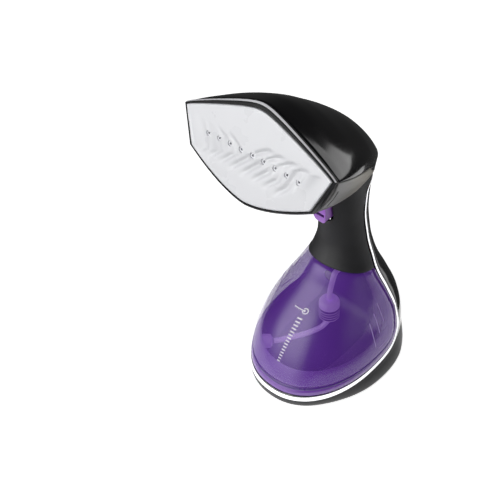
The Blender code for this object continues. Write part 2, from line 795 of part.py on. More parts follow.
def build_lower_shell():
    stations = spread(SHELL_START, PANEL_END_LOW - 4.0, 11)

    def row(n, inset):
        points = []
        for share in spread(1.0, -1.0, 11):
            edge_u = panel_low_u(n) - 0.8 - inset
            edge_v = panel_low_v(n) - GAP
            depth = max(edge_v - keel_v(n) - inset, 0.4)
            low = (1 - abs(share) ** 1.7) * depth
            points.append(head_point(edge_u * share, n, edge_v - low))
        return points

    grids = [[row(n, inset) for n in stations] for inset in (0.0, 2.0)]
    shell = sheet("head_lower_shell", grids[0], grids[1], "matte_black")
    turns = [2 * math.pi * i / 32 for i in range(32)]
    rings = [[body_point(z, turn, -2 * GAP) for turn in turns] for z in (160, 172, 184, 199)]
    rings.append([point + Vector((0, 0, 40)) for point in rings[-1]])
    neck = loft("neck_opening", rings, "chrome")
    carve(shell, neck)
    return shell


def outline_ring(shrink, n):
    return [head_point(u, n, v) for u, v in head_outline(shrink)]


def build_head_frame():
    rings = [
        outline_ring(0.2, SHELL_START - GAP),
        outline_ring(0.0, 0.8),
        outline_ring(1.0, -1.0),
        outline_ring(PLATE_INSET - 0.6, -1.0),
        outline_ring(PLATE_INSET - GAP, 0.2),
        outline_ring(PLATE_INSET - GAP, SHELL_START - GAP),
    ]
    return loft("head_frame", rings, "glossy_black", closed=True)


def hole_cutter(name, radius, start, end):
    """All the steam holes as one cutter, in a row that rises slightly in the middle."""
    polygons = []
    axis = head_point(0, 1, 0) - head_point(0, 0, 0)
    for u in spread(-HOLE_HALF_SPAN, HOLE_HALF_SPAN, STEAM_HOLES):
        v = 1.0 - (u / HOLE_HALF_SPAN) ** 2
        rings = [circle(head_point(u, n, v), axis, radius, 8) for n in (start, end)]
        polygons += [rings[0][::-1], rings[1]]
        for i in range(8):
            j = (i + 1) % 8
            polygons.append([rings[0][i], rings[0][j], rings[1][j], rings[1][i]])
    return solid(name, polygons, "chrome")


def build_soleplate():
    step = PLATE_INSET + WALL
    back = SHELL_START - GAP
    places = ((step, 5.5), (step, back), (PLATE_INSET, back), (PLATE_INSET, -0.2), (PLATE_INSET + 1, -1.2))
    rings = [outline_ring(shrink, n) for shrink, n in places]
    plate = loft("soleplate", rings, "ceramic_white")
    carve(plate, hole_cutter("steam_holes", HOLE_RADIUS, -4.0, 9.0))
    return plate


def build_steam_chamber():
    rings = [
        outline_ring(11.0, 5.8),
        outline_ring(11.0, 21.0),
        outline_ring(16.0, 21.0),
        outline_ring(16.0, 10.0),
    ]
    chamber = loft("steam_chamber", rings, "aluminium")
    carve(chamber, hole_cutter("chamber_holes", HOLE_RADIUS, 3.0, 13.0))
    gasket = [outline_ring(s, n) for s, n in ((11.5, 21.3), (11.5, 22.6), (15.5, 22.6), (15.5, 21.3))]
    loft("chamber_gasket", gasket, "red_silicone", closed=True)
    cover = loft("chamber_cover", [outline_ring(11.0, 22.9), outline_ring(11.0, 25.4)], "aluminium")
    back = head_point(0, 1, 0) - head_point(0, 0, 0)
    bore = turned("inlet_hole", head_point(0, 20, -8), back, [(0, 2.4), (9, 2.4)], "chrome", 12)
    carve(cover, bore)
    turned(
        "steam_inlet",
        head_point(0, 23.2, -8),
        back,
        [(0, 1.2), (0, 2.0), (2.5, 2.0), (2.5, 3.4), (4.5, 3.4), (4.5, 2.0), (12, 2.0), (12, 1.2)],
        "brass",
        closed=True,
    )
    element = []
    for u, v in ((-34, 9), (0, 12), (24, 10), (36, 3), (24, -4.0), (14, -5)):
        element.append(head_point(u, 29.2, v))
    pipe("heating_element", [head_point(-36, 38, 8.6)] + element, 3.2, "steel", count=18, sides=6)
    turned("thermostat", head_point(-14, 25.8, -1), back, [(0, 7.5), (3, 7.5), (3.4, 6.2), (7, 6.2)], "steel")
    fuse = [head_point(u, 28.2, v) for u, v in ((-34, -6), (-29, -8), (-24, -10))]
    pipe("thermal_fuse", fuse, 2.0, "brass", 6)
    turns = spread(math.radians(-48), math.radians(48), 9)
    stations = (27, 38, 49, 60)
    outer, inner = ([[roof_point(n, turn, inset) for turn in turns] for n in stations] for inset in (5.0, 5.8))
    sheet("heat_shield", outer, inner, "mica")


def build_head_screws():
    back = head_point(0, 1, 0) - head_point(0, 0, 0)
    for i, u in enumerate((-44.0, 44.0)):
        turned(
            f"head_screw_{i + 1}",
            head_point(u, 25.7, 4),
            back,
            [(0, 3.0), (1.8, 3.0), (2.4, 2.2)],
            "steel",
            10,
        )


# Trigger and switch


def build_trigger():
    pivot = TRIGGER_PIVOT
    profile = [(4.5, 177.5), (1.0, 176), (-1.2, 171), (-2.0, 164), (-2.0, 156), (-1.6, 149), (-0.4, 146.2)]
    profile += [(5, 146), (8.0, 149), (9, 156), (9, 167), (13, 170), (17.6, 171.6), (17.6, 176.4), (14, 178)]
    outline = [Vector((0, y, z)) for y, z in profile]
    body = extruded("trigger", outline, SIDE, -5.8, 5.8, "trigger_purple", 0.8, pivot)
    carve(body, extruded("trigger_round", u_outline(5.7, 151.8), BACK, -12, 22, "chrome"), "INTERSECT")
    bore = turned("pin_bore", pivot - SIDE * 12, SIDE, [(0, 1.8), (24, 1.8)], "chrome", 12)
    carve(body, bore)
    carve(body, box("finger_pocket", (-4.5, -9, 153.3), (4.5, 1.0, 171), "chrome"))
    turned("trigger_pin", pivot - SIDE * 12.8, SIDE, [(0, 1.5), (25.6, 1.5)], "steel", 12)
    coil = []
    for i in range(25):
        turn = 2 * math.pi * i / 8
        coil.append((8.4 + 0.12 * i, pivot.y + 2.6 * math.cos(turn), pivot.z + 2.6 * math.sin(turn)))
    coil += [(11.4, pivot.y + 4.5, pivot.z - 5), (11.4, pivot.y + 5.0, pivot.z - 10)]
    pipe("trigger_spring", coil, 0.45, "steel", count=40, sides=4)


def build_switch():
    box("micro_switch", (-3.2, 16.6, 146), (3.2, 26.4, 166), "inner_black", 0.6)
    profile = [(12.6, 145), (14.0, 145), (14.2, 163), (10.2, 165), (9.4, 164), (13.0, 161.8)]
    outline = [Vector((0, y, z)) for y, z in profile]
    extruded("switch_lever", outline, SIDE, -2.0, 2.0, "steel", 0.0, LEVER_PIVOT)


# Pump and electrics


def build_pump():
    centre = Vector((0, 57.0, 0))
    up = UP
    turned(
        "pump_body",
        centre + up * 21,
        up,
        [(0, 2.2), (5, 2.2), (5, 7.6), (31, 7.6), (31, 4.6), (37, 4.6), (37, 2.2), (42, 2.2)],
        "inner_black",
        14,
    )
    winding = [(0, 8.0), (0, 10.6), (19, 10.6), (19, 8.0)]
    turned("pump_coil", centre + up * 28.5, up, winding, "copper", 14, True)
    bracket = box("pump_bracket", (-12.5, 47.4, 48.4), (12.5, 67.0, 50.4), "steel")
    carve(bracket, turned("bracket_hole", centre + up * 45, up, [(0, 7.95), (8, 7.95)], "chrome", 14))
    dock = wall_y(DOCK_Z)
    turned(
        "dock_socket",
        Vector((0, dock + 4.0, DOCK_Z)),
        BACK,
        [(0, 4.2), (0, 7.6), (2.4, 7.6), (2.4, 6.2), (7.4, 6.2), (7.4, 2.0), (6.2, 2.0), (6.2, 4.2)],
        "inner_black",
        closed=True,
    )
    turned(
        "dock_seal",
        Vector((0, dock + 2.6, DOCK_Z)),
        BACK,
        [(0, 3.95), (0, 6.6), (1.1, 6.6), (1.1, 3.95)],
        "red_silicone",
        closed=True,
    )
    pipe(
        "suction_hose",
        [(0, dock + 11.8, DOCK_Z), (1, dock + 14, DOCK_Z - 0.6), (8, 52.8, 75), (16, 50, 68), (19, 50, 57)]
        + [(19.5, 55, 40), (15, 58, 17), (5, 57.4, 14.4), (0, 57, 16), (0, 57, 20.4)],
        2.2,
        "silicone",
        count=26,
        sides=5,
    )
    pipe(
        "delivery_hose",
        [(0, 57, 63.6), (0, 57, 66), (-5, 55.5, 70), (-10.8, 52, 77), (-11, 49, 87), (-10, 44, 98)]
        + [(-7, 37.5, 124), (-5, 34, 158), (-3, 26, 190), (-1, -10, 214)]
        + [head_point(0, 44, -8), head_point(0, 35.8, -8)],
        2.2,
        "silicone",
        count=32,
        sides=5,
    )


def build_electrics():
    box("control_board", (-13, 45.2, 53), (13, 46.6, 70), "board_green")
    box("board_relay", (-12, 46.9, 55), (-4.5, 49.1, 64), "inner_black")
    turned("board_capacitor", Vector((8.0, 46.9, 64.5)), BACK, [(0, 4.0), (5.5, 4.0)], "rubber", 12)
    pipe(
        "heater_leads",
        [(11, 45.9, 70.8), (11, 46.2, 74), (11, 47, 84), (11, 43, 97), (7, 34, 124), (6, 33, 158), (7, 24, 192)]
        + [(12, -10, 222), head_point(10, 40, 4), head_point(2, 36, 4)],
        1.8,
        "red_silicone",
        count=24,
        sides=5,
    )


def build():
    for thing in list(bpy.data.objects):
        bpy.data.objects.remove(thing, do_unlink=True)
    build_tank_shell()
    build_tank_back()
    build_tank_fittings()
    build_tank_bay()
    build_base_foot()
    build_feet()
    build_chrome_trim()
    build_rear_cover()
    build_cord_entry()
    build_grip_shell()
    build_top_shell()
    build_side_panels()
    build_tail_band()
    build_lower_shell()
    build_head_frame()
    build_soleplate()
    build_steam_chamber()
    build_head_screws()
    build_trigger()
    build_switch()
    build_pump()
    build_electrics()


build()
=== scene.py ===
import math

import bmesh
import bpy
from mathutils import Matrix, Vector


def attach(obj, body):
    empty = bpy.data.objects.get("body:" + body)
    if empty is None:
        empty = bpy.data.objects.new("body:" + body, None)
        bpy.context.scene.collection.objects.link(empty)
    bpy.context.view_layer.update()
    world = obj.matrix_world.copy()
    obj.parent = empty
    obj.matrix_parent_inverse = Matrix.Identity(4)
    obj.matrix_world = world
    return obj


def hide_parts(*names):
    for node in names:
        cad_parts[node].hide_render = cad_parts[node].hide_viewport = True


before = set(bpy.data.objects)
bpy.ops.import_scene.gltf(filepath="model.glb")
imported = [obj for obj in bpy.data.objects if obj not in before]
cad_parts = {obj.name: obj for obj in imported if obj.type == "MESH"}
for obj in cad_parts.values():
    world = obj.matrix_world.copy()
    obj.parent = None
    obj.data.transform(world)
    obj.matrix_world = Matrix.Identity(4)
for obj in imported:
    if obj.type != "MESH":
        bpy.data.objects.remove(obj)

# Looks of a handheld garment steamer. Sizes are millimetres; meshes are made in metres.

MM = 0.001
GAP = 0.3
WALL = 2.4
SHARP_ANGLE = math.radians(35)
UP = Vector((0, 0, 1))
BACK = Vector((0, 1, 0))

# The camera's place is in metres. Its angles are azimuth, elevation and roll in degrees.
CAMERA_PLACE = (0.32972, -0.39036, 0.61138)
CAMERA_ANGLES = (46.124, 43.912, -3.822)
CAMERA_LENS = 68.2

# Lamps and cards are placed in metres.
ROOM_LIGHT = 0.06
# Name, place, target, width, height, brightness on matt surfaces, brightness in reflections.
LAMPS = [
    ("key_softbox", (-0.27, -1.03, 0.47), (0.0, -0.03, 0.07), 1.5, 1.25, 2.1, 8.0),
    ("top_softbox", (0.3, 0.2, 1.5), (0.0, 0.0, 0.1), 1.0, 1.0, 1.3, 0.0),
    ("right_card", (1.1, 0.28, 0.12), (0.03, 0.0, 0.07), 0.85, 0.5, 1.6, 1.8),
    ("back_card", (0.19, 1.15, 0.68), (0.19, -0.04, 0.30), 0.42, 1.15, 0.0, 2.0),
]
# Name, low corner, high corner, height, glow, and whether the camera or only reflections see it.
CARDS = [
    ("floor", (-4, -4), (4, 4), -0.0002, 0.8, "camera"),
    ("front_card", (-0.115, -0.125), (0.125, 0.10), -0.0004, 1.0, "glossy"),
    ("side_card", (0.06, 0.10), (0.45, 0.55), -0.0004, 1.1, "glossy"),
]

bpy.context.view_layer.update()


# Camera, floor and light


def colour(code):
    """Linear colour from a hex code."""
    channels = [int(code[i : i + 2], 16) / 255 for i in (0, 2, 4)]
    return [c / 12.92 if c <= 0.04045 else ((c + 0.055) / 1.055) ** 2.4 for c in channels] + [1.0]


def add_camera():
    data = bpy.data.cameras.new("camera")
    data.sensor_width = 36.0
    data.lens = CAMERA_LENS
    data.clip_start = 0.01
    camera = bpy.data.objects.new("camera", data)
    azimuth, elevation, roll = (math.radians(angle) for angle in CAMERA_ANGLES)
    level = math.cos(elevation)
    forward = Vector((-math.sin(azimuth) * level, math.cos(azimuth) * level, -math.sin(elevation)))
    turn = forward.to_track_quat("-Z", "Y").to_matrix().to_4x4() @ Matrix.Rotation(roll, 4, "Z")
    camera.matrix_world = Matrix.Translation(CAMERA_PLACE) @ turn
    bpy.context.scene.collection.objects.link(camera)
    bpy.context.scene.camera = camera


def add_lamp(name, place, target, width, height, matt, glossy):
    """Rectangular lamp, made as two: one lights matt surfaces, the other shows in reflections.

    matt and glossy are their brightness, where 1 is a white sheet's.
    """
    for kind, brightness in (("matt", matt), ("glossy", glossy)):
        if not brightness:
            continue
        data = bpy.data.lights.new(f"{name}_{kind}", "AREA")
        data.shape = "RECTANGLE"
        data.size, data.size_y = width, height
        data.energy = brightness * math.pi * width * height
        lamp = bpy.data.objects.new(data.name, data)
        aim = Vector(target) - Vector(place)
        lamp.matrix_world = Matrix.Translation(place) @ aim.to_track_quat("-Z", "Y").to_matrix().to_4x4()
        lamp.visible_glossy = kind == "glossy"
        lamp.visible_diffuse = kind == "matt"
        bpy.context.scene.collection.objects.link(lamp)


def add_card(name, low, high, height, glow, seen_by):
    """Flat glowing rectangle that belongs to the studio."""
    mesh = bpy.data.meshes.new(name)
    corners = [(low[0], low[1]), (high[0], low[1]), (high[0], high[1]), (low[0], high[1])]
    mesh.from_pydata([(x, y, height) for x, y in corners], [], [(0, 1, 2, 3)])
    sockets = {"Emission_Color": (1, 1, 1, 1), "Emission_Strength": glow, "Specular_IOR_Level": 0.0}
    material = surface(name + "_paper", "F4F4F4", "FAFAFA", (0.8, 0.9), 90, 0.0, **sockets)
    material.cycles.emission_sampling = "NONE"
    mesh.materials.append(material)
    card = bpy.data.objects.new(name, mesh)
    bpy.context.scene.collection.objects.link(card)
    card.visible_camera = seen_by == "camera"
    card.visible_diffuse = False
    card.visible_shadow = False
    card.visible_glossy = seen_by == "glossy"


def add_surroundings():
    """World that is white to the camera and dim to everything else, with the cards and lamps."""
    world = bpy.data.worlds.new("studio")
    world.use_nodes = True
    bpy.context.scene.world = world
    nodes, links = world.node_tree.nodes, world.node_tree.links
    path = nodes.new("ShaderNodeLightPath")
    mixer = nodes.new("ShaderNodeMix")
    mixer.data_type = "RGBA"
    mixer.inputs["A"].default_value = (*[ROOM_LIGHT] * 3, 1.0)
    mixer.inputs["B"].default_value = (1.0, 1.0, 1.0, 1.0)
    links.new(path.outputs["Is Camera Ray"], mixer.inputs["Factor"])
    links.new(mixer.outputs["Result"], nodes["Background"].inputs["Color"])
    for row in CARDS:
        add_card(*row)
    for row in LAMPS:
        add_lamp(*row)
    bpy.context.scene.view_settings.view_transform = "Standard"


# Materials


def surface(
    name, low, high, roughness, patch, bump, metallic=0.0, grain=0.35, stretch=(1, 1, 1), fade=None, **sockets
):
    """Material whose colour and roughness wander between two values over patch millimetres.

    bump is the height of a fine grain that is grain millimetres wide. fade is a pair of y places: the colour
    goes from low at the first to high at the second. sockets are values for the shader's own sockets.
    """
    material = bpy.data.materials.new(name)
    material.use_nodes = True
    nodes, links = material.node_tree.nodes, material.node_tree.links

    def fill(node, **values):
        """Gives sockets of a node their values, which may be the outputs of other nodes."""
        for label, value in values.items():
            socket = node.inputs[label.replace("_", " ")]
            if isinstance(value, bpy.types.NodeSocket):
                links.new(value, socket)
            else:
                socket.default_value = value
        return node

    def add(kind, **values):
        return fill(nodes.new("ShaderNode" + kind), **values)

    place = add("TexCoord").outputs["Object"]
    mapping = add("Mapping", Vector=place, Scale=stretch).outputs["Vector"]
    cloud = add("TexNoise", Vector=mapping, Scale=1000.0 / patch, Detail=4.0).outputs["Fac"]
    share = cloud
    if fade:
        ramp = nodes.new("ShaderNodeMapRange")
        ramp.interpolation_type = "SMOOTHSTEP"
        y = add("SeparateXYZ", Vector=place).outputs["Y"]
        fill(ramp, Value=y, From_Min=fade[0] * MM, From_Max=fade[1] * MM)
        share = add("Mix", Factor=0.25, A=ramp.outputs["Result"], B=cloud).outputs["Result"]
    tint = nodes.new("ShaderNodeMix")
    tint.data_type = "RGBA"
    fill(tint, Factor=share, A=colour(low), B=colour(high))
    least, most = roughness
    shine = add("MapRange", Value=cloud, From_Min=0.3, From_Max=0.7, To_Min=least, To_Max=most)
    looks = {"Base_Color": tint.outputs["Result"], "Roughness": shine.outputs["Result"], "Metallic": metallic}
    shader = fill(nodes["Principled BSDF"], **looks, **sockets)
    if bump:
        speckle = add("TexNoise", Vector=mapping, Scale=1000.0 / grain, Detail=2.0).outputs["Fac"]
        lift = add("Bump", Strength=1.0, Distance=bump * MM, Height=speckle)
        fill(shader, Normal=lift.outputs["Normal"])
    return material


def make_materials():
    """Every material, by name."""
    coat = {"Coat_Weight": 1.0, "Coat_Roughness": 0.18}
    soft = {"grain": 0.45, "Specular_IOR_Level": 0.3}
    satin = {"grain": 0.5, "Specular_IOR_Level": 0.4}
    # glow makes the tubes and cartridge give off a faint lilac light: painted light shining through the tank.
    glow = {"Emission_Color": colour("B48AE0"), "Emission_Strength": 0.4}
    # Low and high colour, roughness range, patch, bump, and what differs from the usual.
    looks = {
        "glossy_black": ("09090C", "0D0D11", (0.10, 0.16), 30, 0.003, {"grain": 1.5}),
        "frame_black": ("050507", "09090B", (0.4, 0.5), 12, 0.004, {"Specular_IOR_Level": 0.3}),
        # Light grey on the frame's upper bevel: a painted highlight of light from above.
        "frame_highlight": ("D6D6DA", "E8E8EC", (0.3, 0.4), 8, 0.003),
        # Dark grey: a dimmer painted sheen on the frame's lower bevel, and painted shade on the walls of the
        # steam holes.
        "frame_sheen_and_hole_shade": ("2B2B2F", "37373C", (0.35, 0.45), 8, 0.004),
        "matte_black": ("161619", "1C1C1F", (0.55, 0.65), 18, 0.02, soft),
        "base_grey": ("222224", "2B2B2D", (0.42, 0.5), 15, 0.01, satin),
        # The fade pales the gunmetal from dark grey at the front to warm light grey towards the rear: a
        # painted reflection.
        "gunmetal": ("4A4A50", "B4AEA2", (0.32, 0.42), 6, 0.003, {"metallic": 0.3, "fade": (-60, -10)}),
        "chrome": ("ECECEE", "F8F8FA", (0.08, 0.14), 10, 0.001, {"metallic": 1.0}),
        "ceramic_white": ("E2E3E7", "E4E5E9", (0.26, 0.30), 30, 0.002, {"grain": 0.6}),
        "tank_clear": ("7E40C6", "884AD0", (0.22, 0.28), 25, 0.0, {"Alpha": 0.45, **coat}),
        "tank_deep": ("4A1A80", "53208C", (0.4, 0.5), 20, 0.0, {"Alpha": 0.3, "Specular_IOR_Level": 0.2}),
        "tank_floor": ("8450BC", "8E5AC6", (0.3, 0.4), 20, 0.0),
        # Dark purple in the groove between the bulb and the rim: painted shade.
        "tank_groove_shade": ("4C2086", "552890", (0.25, 0.35), 20, 0.0),
        "tank_back_in": ("5A249A", "642CA8", (0.3, 0.4), 20, 0.0),
        "tank_rim": ("8248BE", "8E56C8", (0.18, 0.26), 20, 0.0, {"Alpha": 0.9, **coat}),
        # Pale lilac on the fine raised lines: a painted highlight along their edges.
        "tank_line_highlight": ("BBA0DE", "C6AEE6", (0.2, 0.3), 6, 0.0),
        "mark_white": ("F4F2F8", "FFFFFF", (0.4, 0.5), 3, 0.0),
        "trigger_purple": ("A964D6", "B674E0", (0.30, 0.38), 8, 0.003, {"grain": 0.5}),
        # Dark purple on the ledge of the trigger's pocket: a painted shadow.
        "trigger_pocket_shade": ("3D0E5C", "4A1068", (0.4, 0.5), 8, 0.003),
        "silicone": ("D8B4F6", "E2C2FA", (0.35, 0.45), 8, 0.003),
        "tube_lilac": ("D8B4F6", "E2C2FA", (0.35, 0.45), 8, 0.003, glow),
        # Dark purple at the bottom of the cartridge's grooves: painted shade.
        "silicone_groove_shade": ("6E45A4", "7A50B0", (0.35, 0.45), 8, 0.003),
        "inner_black": ("141414", "1C1C1C", (0.5, 0.65), 12, 0.02),
        "aluminium": ("A6A6A8", "B8B8BA", (0.35, 0.5), 5, 0.02, {"metallic": 1.0}),
        "steel": ("B0B0B2", "C4C4C6", (0.2, 0.35), 4, 0.005, {"metallic": 1.0}),
        "brass": ("B8934A", "C7A55C", (0.25, 0.4), 4, 0.005, {"metallic": 1.0}),
        "copper": ("9C4F2A", "B8653A", (0.3, 0.45), 1.2, 0.05, {"metallic": 1.0, "stretch": (1, 1, 12)}),
        "board_green": ("14502C", "1C6236", (0.35, 0.5), 3, 0.01),
        "rubber": ("121212", "1B1B1B", (0.65, 0.8), 6, 0.02),
        "red_silicone": ("8E2A1E", "A1362A", (0.5, 0.6), 6, 0.01),
        "mica": ("A89A7C", "BDB094", (0.5, 0.65), 3, 0.02),
    }
    return {name: surface(name, *look[:5], **dict(*look[5:])) for name, look in looks.items()}


# Shape of the body. A level is the height at which a line round the body crosses the front.

# Height, front y, rear y, half width and squareness of the section.
BODY_SECTIONS = [
    (0.0, -62.0, 74.0, 49.5, 2.15),
    (7.0, -62.5, 76.0, 52.0, 2.2),
    (16.0, -60.5, 76.5, 52.5, 2.2),
    (30.0, -56.0, 76.0, 52.0, 2.15),
    (50.0, -47.0, 72.5, 47.5, 2.15),
    (70.0, -34.0, 65.0, 39.0, 2.1),
    (88.0, -15.0, 57.0, 30.0, 2.0),
    (104.0, 2.0, 51.0, 23.8, 2.0),
    (122.0, 7.0, 47.0, 19.8, 2.0),
    (145.0, 5.0, 45.5, 18.0, 2.0),
    (165.0, 2.0, 48.0, 18.0, 2.0),
    (180.0, 0.0, 50.8, 18.6, 2.0),
    (200.0, -2.0, 54.0, 19.8, 2.0),
]
# Level, and how much higher its line is at the rear.
LEVEL_RISE = [
    (0.0, 0.0),
    (3.0, 5.0),
    (11.0, 14.0),
    (24.0, 12.0),
    (58.0, 0.0),
    (101.0, -16.0),
    (150.0, -8.0),
    (195.0, -20.0),
]
# Level, and the trim's angle from the front in degrees.
TRIM_ANGLES = [
    (0.0, 117.0),
    (31.0, 117.0),
    (50.0, 118.5),
    (75.0, 118.0),
    (93.0, 115.5),
    (112.0, 108.5),
    (128.0, 104.0),
    (151.0, 103.0),
    (170.0, 106.0),
    (200.0, 106.0),
]
TRIM_HALF_WIDTHS = [(0.0, 2.5), (12.0, 2.5), (45.0, 1.9), (120.0, 1.6), (200.0, 1.6)]
# Angle from the front, and how far the foot stands out there.
FOOT_FLARE = [(0.0, 0.0), (45.0, 0.2), (60.0, 1.4), (72.0, 3.4), (84.0, 5.4), (96.0, 6.6), (108.0, 7.0)]
FOOT_FLARE += [(126.0, 4.4), (150.0, 1.4), (180.0, 0.4)]
TRIM_LEVEL = 10.8
TRIM_CORNER = 19.0
TRIM_CROWN = 75
ARCH_START = 168.0
ARCH_TOP = 188.0
TANK_TOP = 101.5
RIM_WIDTHS = [(0.0, 7.5), (14.0, 7.5), (45.0, 2.2), (120.0, 1.6)]
# Angle from the front, and the height of the grip's upper end there.
GRIP_RIM = [(0.0, 197.0), (80.0, 194.0), (100.0, 189.5), (125.0, 181.0), (150.0, 177.0), (180.0, 175.6)]

# Shape of the head: n runs back from the soleplate, v up along it, u to the side. Tables are (n, v).
PLATE_TILT = math.radians(19.0)
PLATE_CENTRE = Vector((0.0, -65.5, 245.7))
HEAD_LENGTH = 132.0
HEAD_HALF_WIDTH = 63.4
# How far back a side panel ends at its top and bottom, and where its lower edge stops tucking in.
PANEL_END_TOP = 62.0
PANEL_END_LOW = 103.0
TUCK_END = 110.0
SHOULDER_V = [(0.0, 11.5), (55.0, 1.5), (110.0, -11.5), (132.0, -22.0)]
PANEL_LOW_V = [(0.0, -14.5), (110.0, -20.0), (132.0, -22.0)]
ROOF_V = [(0.0, 35.6), (18.0, 35.3), (36.0, 32.2), (52.0, 27.3), (70.0, 21.2), (85.0, 14.6), (100.0, 4.0)]
ROOF_V += [(118.0, -12.0), (132.0, -22.0)]
KEEL_V = [(0.0, -34.0), (30.0, -31.0), (70.0, -28.0), (110.0, -26.0)]
HEAD_WALL = 2.0
PLATE_INSET = 2.4
SHELL_START = 3.2
STEAM_HOLES = 9
HOLE_HALF_SPAN = 38.2
GLAND_Z = 30.0
SLOT_RADIUS = 6.9
SLOT_Z = 150.8
TRIGGER_RADIUS = 5.7
TRIGGER_Z = 151.8
TRIGGER_HALF_WIDTH = 5.8
PIN_PLACE = (14, 174)
FOOT_PLACES = [(34.0, -22.0), (-34.0, -22.0), (34.0, 48.0), (-34.0, 48.0)]
FLUTE_DEPTH = 0.8
FLUTE_REACH = 26.0
# Length of one step to the side and one up.
DIAGONAL = 1.414


def curve_through(rows, column=1):
    """Monotone cubic through rows of (key, value, ...)."""
    keys = [row[0] for row in rows]
    values = [row[column] for row in rows]
    last = len(rows) - 1
    slopes = [(values[i + 1] - values[i]) / (keys[i + 1] - keys[i]) for i in range(last)]
    tangents = [slopes[0]]
    for before, after in zip(slopes, slopes[1:]):
        turns = before * after <= 0
        tangents.append(0.0 if turns else 2 * before * after / (before + after))
    tangents.append(slopes[-1])

    def value_at(key):
        key = min(max(key, keys[0]), keys[-1])
        i = max(k for k in range(last) if keys[k] <= key)
        span = keys[i + 1] - keys[i]
        t = (key - keys[i]) / span
        return (
            values[i] * (1 + 2 * t) * (1 - t) ** 2
            + tangents[i] * span * t * (1 - t) ** 2
            + values[i + 1] * t * t * (3 - 2 * t)
            + tangents[i + 1] * span * t * t * (t - 1)
        )

    return value_at


front_y = curve_through(BODY_SECTIONS, 1)
rear_y = curve_through(BODY_SECTIONS, 2)
half_width = curve_through(BODY_SECTIONS, 3)
squareness = curve_through(BODY_SECTIONS, 4)
level_rise = curve_through(LEVEL_RISE)
trim_degrees = curve_through(TRIM_ANGLES)
trim_half = curve_through(TRIM_HALF_WIDTHS)
rim_width = curve_through(RIM_WIDTHS)
grip_rim = curve_through(GRIP_RIM)
shoulder_v = curve_through(SHOULDER_V)
panel_low_v = curve_through(PANEL_LOW_V)
roof_v = curve_through(ROOF_V)
foot_flare = curve_through(FOOT_FLARE)
keel_v = curve_through(KEEL_V)


def spread(start, end, count):
    """count values from start to end, both included."""
    return [start + (end - start) * i / (count - 1) for i in range(count)]


def full_turn(count):
    """count angles evenly round a circle."""
    return [2 * math.pi * i / count for i in range(count)]


def mix(a, b, t):
    return a + (b - a) * t


def smooth(t):
    """0 below 0, 1 above 1 and a soft step between."""
    t = min(max(t, 0.0), 1.0)
    return t * t * (3 - 2 * t)


def mirrored(point, side):
    """The point for a side of 1, its mirror image for -1."""
    return Vector((side * point.x, point.y, point.z))


def body_point(z, angle, inset=0.0):
    """Point of the body's skin at a height and an angle from the front, moved inwards by inset."""
    exponent = 2.0 / squareness(z)
    half_depth = (rear_y(z) - front_y(z)) / 2
    centre = (rear_y(z) + front_y(z)) / 2
    side, back = math.sin(angle), math.cos(angle)
    x = (half_width(z) - inset) * math.copysign(abs(side) ** exponent, side)
    y = centre - (half_depth - inset) * math.copysign(abs(back) ** exponent, back)
    return Vector((x, y, z))


def skin(level, angle, inset=0.0):
    """Point of the body's skin on a level's line."""
    height = level + level_rise(level) * (1 - math.cos(angle)) / 2
    return body_point(height, angle, inset)


def girth(level):
    """Half the body's depth, which turns millimetres along its skin into an angle."""
    return (rear_y(level) - front_y(level)) / 2


def corner_cut(level, bottom, corner):
    """How far a round corner that starts at the bottom level takes a line in at a level."""
    drop = bottom + corner - level
    if drop <= 0:
        return 0.0
    return corner - math.sqrt(max(corner * corner - drop * drop, 0.0))


def seam_angle(level, shift):
    """Angle of a line that follows the trim's middle line, shift millimetres towards the tank."""
    bottom = TRIM_LEVEL + shift
    corner = TRIM_CORNER - shift
    angle = math.radians(trim_degrees(level))
    angle -= (shift + corner_cut(level, bottom, corner)) / girth(level)
    if level > ARCH_START:
        t = min((level - ARCH_START) / (ARCH_TOP + shift - ARCH_START), 1.0)
        angle += (math.pi - angle) * (1 - math.sqrt(1 - t * t))
    return angle


def trim_line(count_band, count_corner, count_side):
    """(level, angle) along the trim's middle line, from the front centre up to the side of the neck."""
    flat_end = seam_angle(TRIM_LEVEL, 0.0)
    line = [(TRIM_LEVEL, angle) for angle in spread(0.0, flat_end, count_band)]
    turns = spread(0.0, math.pi / 2, count_corner)[1:]
    levels = [TRIM_LEVEL + TRIM_CORNER * (1 - math.cos(turn)) for turn in turns]
    levels += spread(TRIM_LEVEL + TRIM_CORNER, ARCH_START, count_side)[1:]
    return line + [(level, seam_angle(level, 0.0)) for level in levels]


def head_point(u, n, v):
    """Point of the head from its own directions."""
    y = PLATE_CENTRE.y + n * math.cos(PLATE_TILT) + v * math.sin(PLATE_TILT)
    z = PLATE_CENTRE.z - n * math.sin(PLATE_TILT) + v * math.cos(PLATE_TILT)
    return Vector((u, y, z))


def shoulder_u(n):
    along = min(max(n / HEAD_LENGTH, 0.0), 1.0)
    return HEAD_HALF_WIDTH * (1 - along**1.5) ** 0.75


def panel_low_u(n):
    return shoulder_u(n) - 10.0 * (1 - n / TUCK_END)


def roof_shape(n, across):
    """Height share of the roof from shoulder to ridge: a soft hip in front, an arch behind."""
    width = max(shoulder_u(n), 0.01)
    apex = 10.0 + n / 6
    reach = math.hypot(width, apex) - apex
    hip = 1 - (math.hypot(across * width, apex) - apex) / reach
    arch = math.sqrt(max(1 - across * across, 0.0))
    front_rise = 0.10 * smooth(n / 10) * (1 - smooth((n - 20) / 30))
    share = min(0.86, 0.12 + max(n, 0.0) / 90 + front_rise)
    return mix(hip, arch, share)


def roof_point(n, turn, inset=0.0):
    """Point of the roof: turn goes from -90 degrees at one shoulder to 90 at the other."""
    across = math.sin(turn)
    scale = 1 - inset / max(shoulder_u(n), inset + 0.01)
    rise = max(roof_v(n) - inset * 1.1 - shoulder_v(n), 0.0)
    return head_point(shoulder_u(n) * across * scale, n, shoulder_v(n) + rise * roof_shape(n, across))


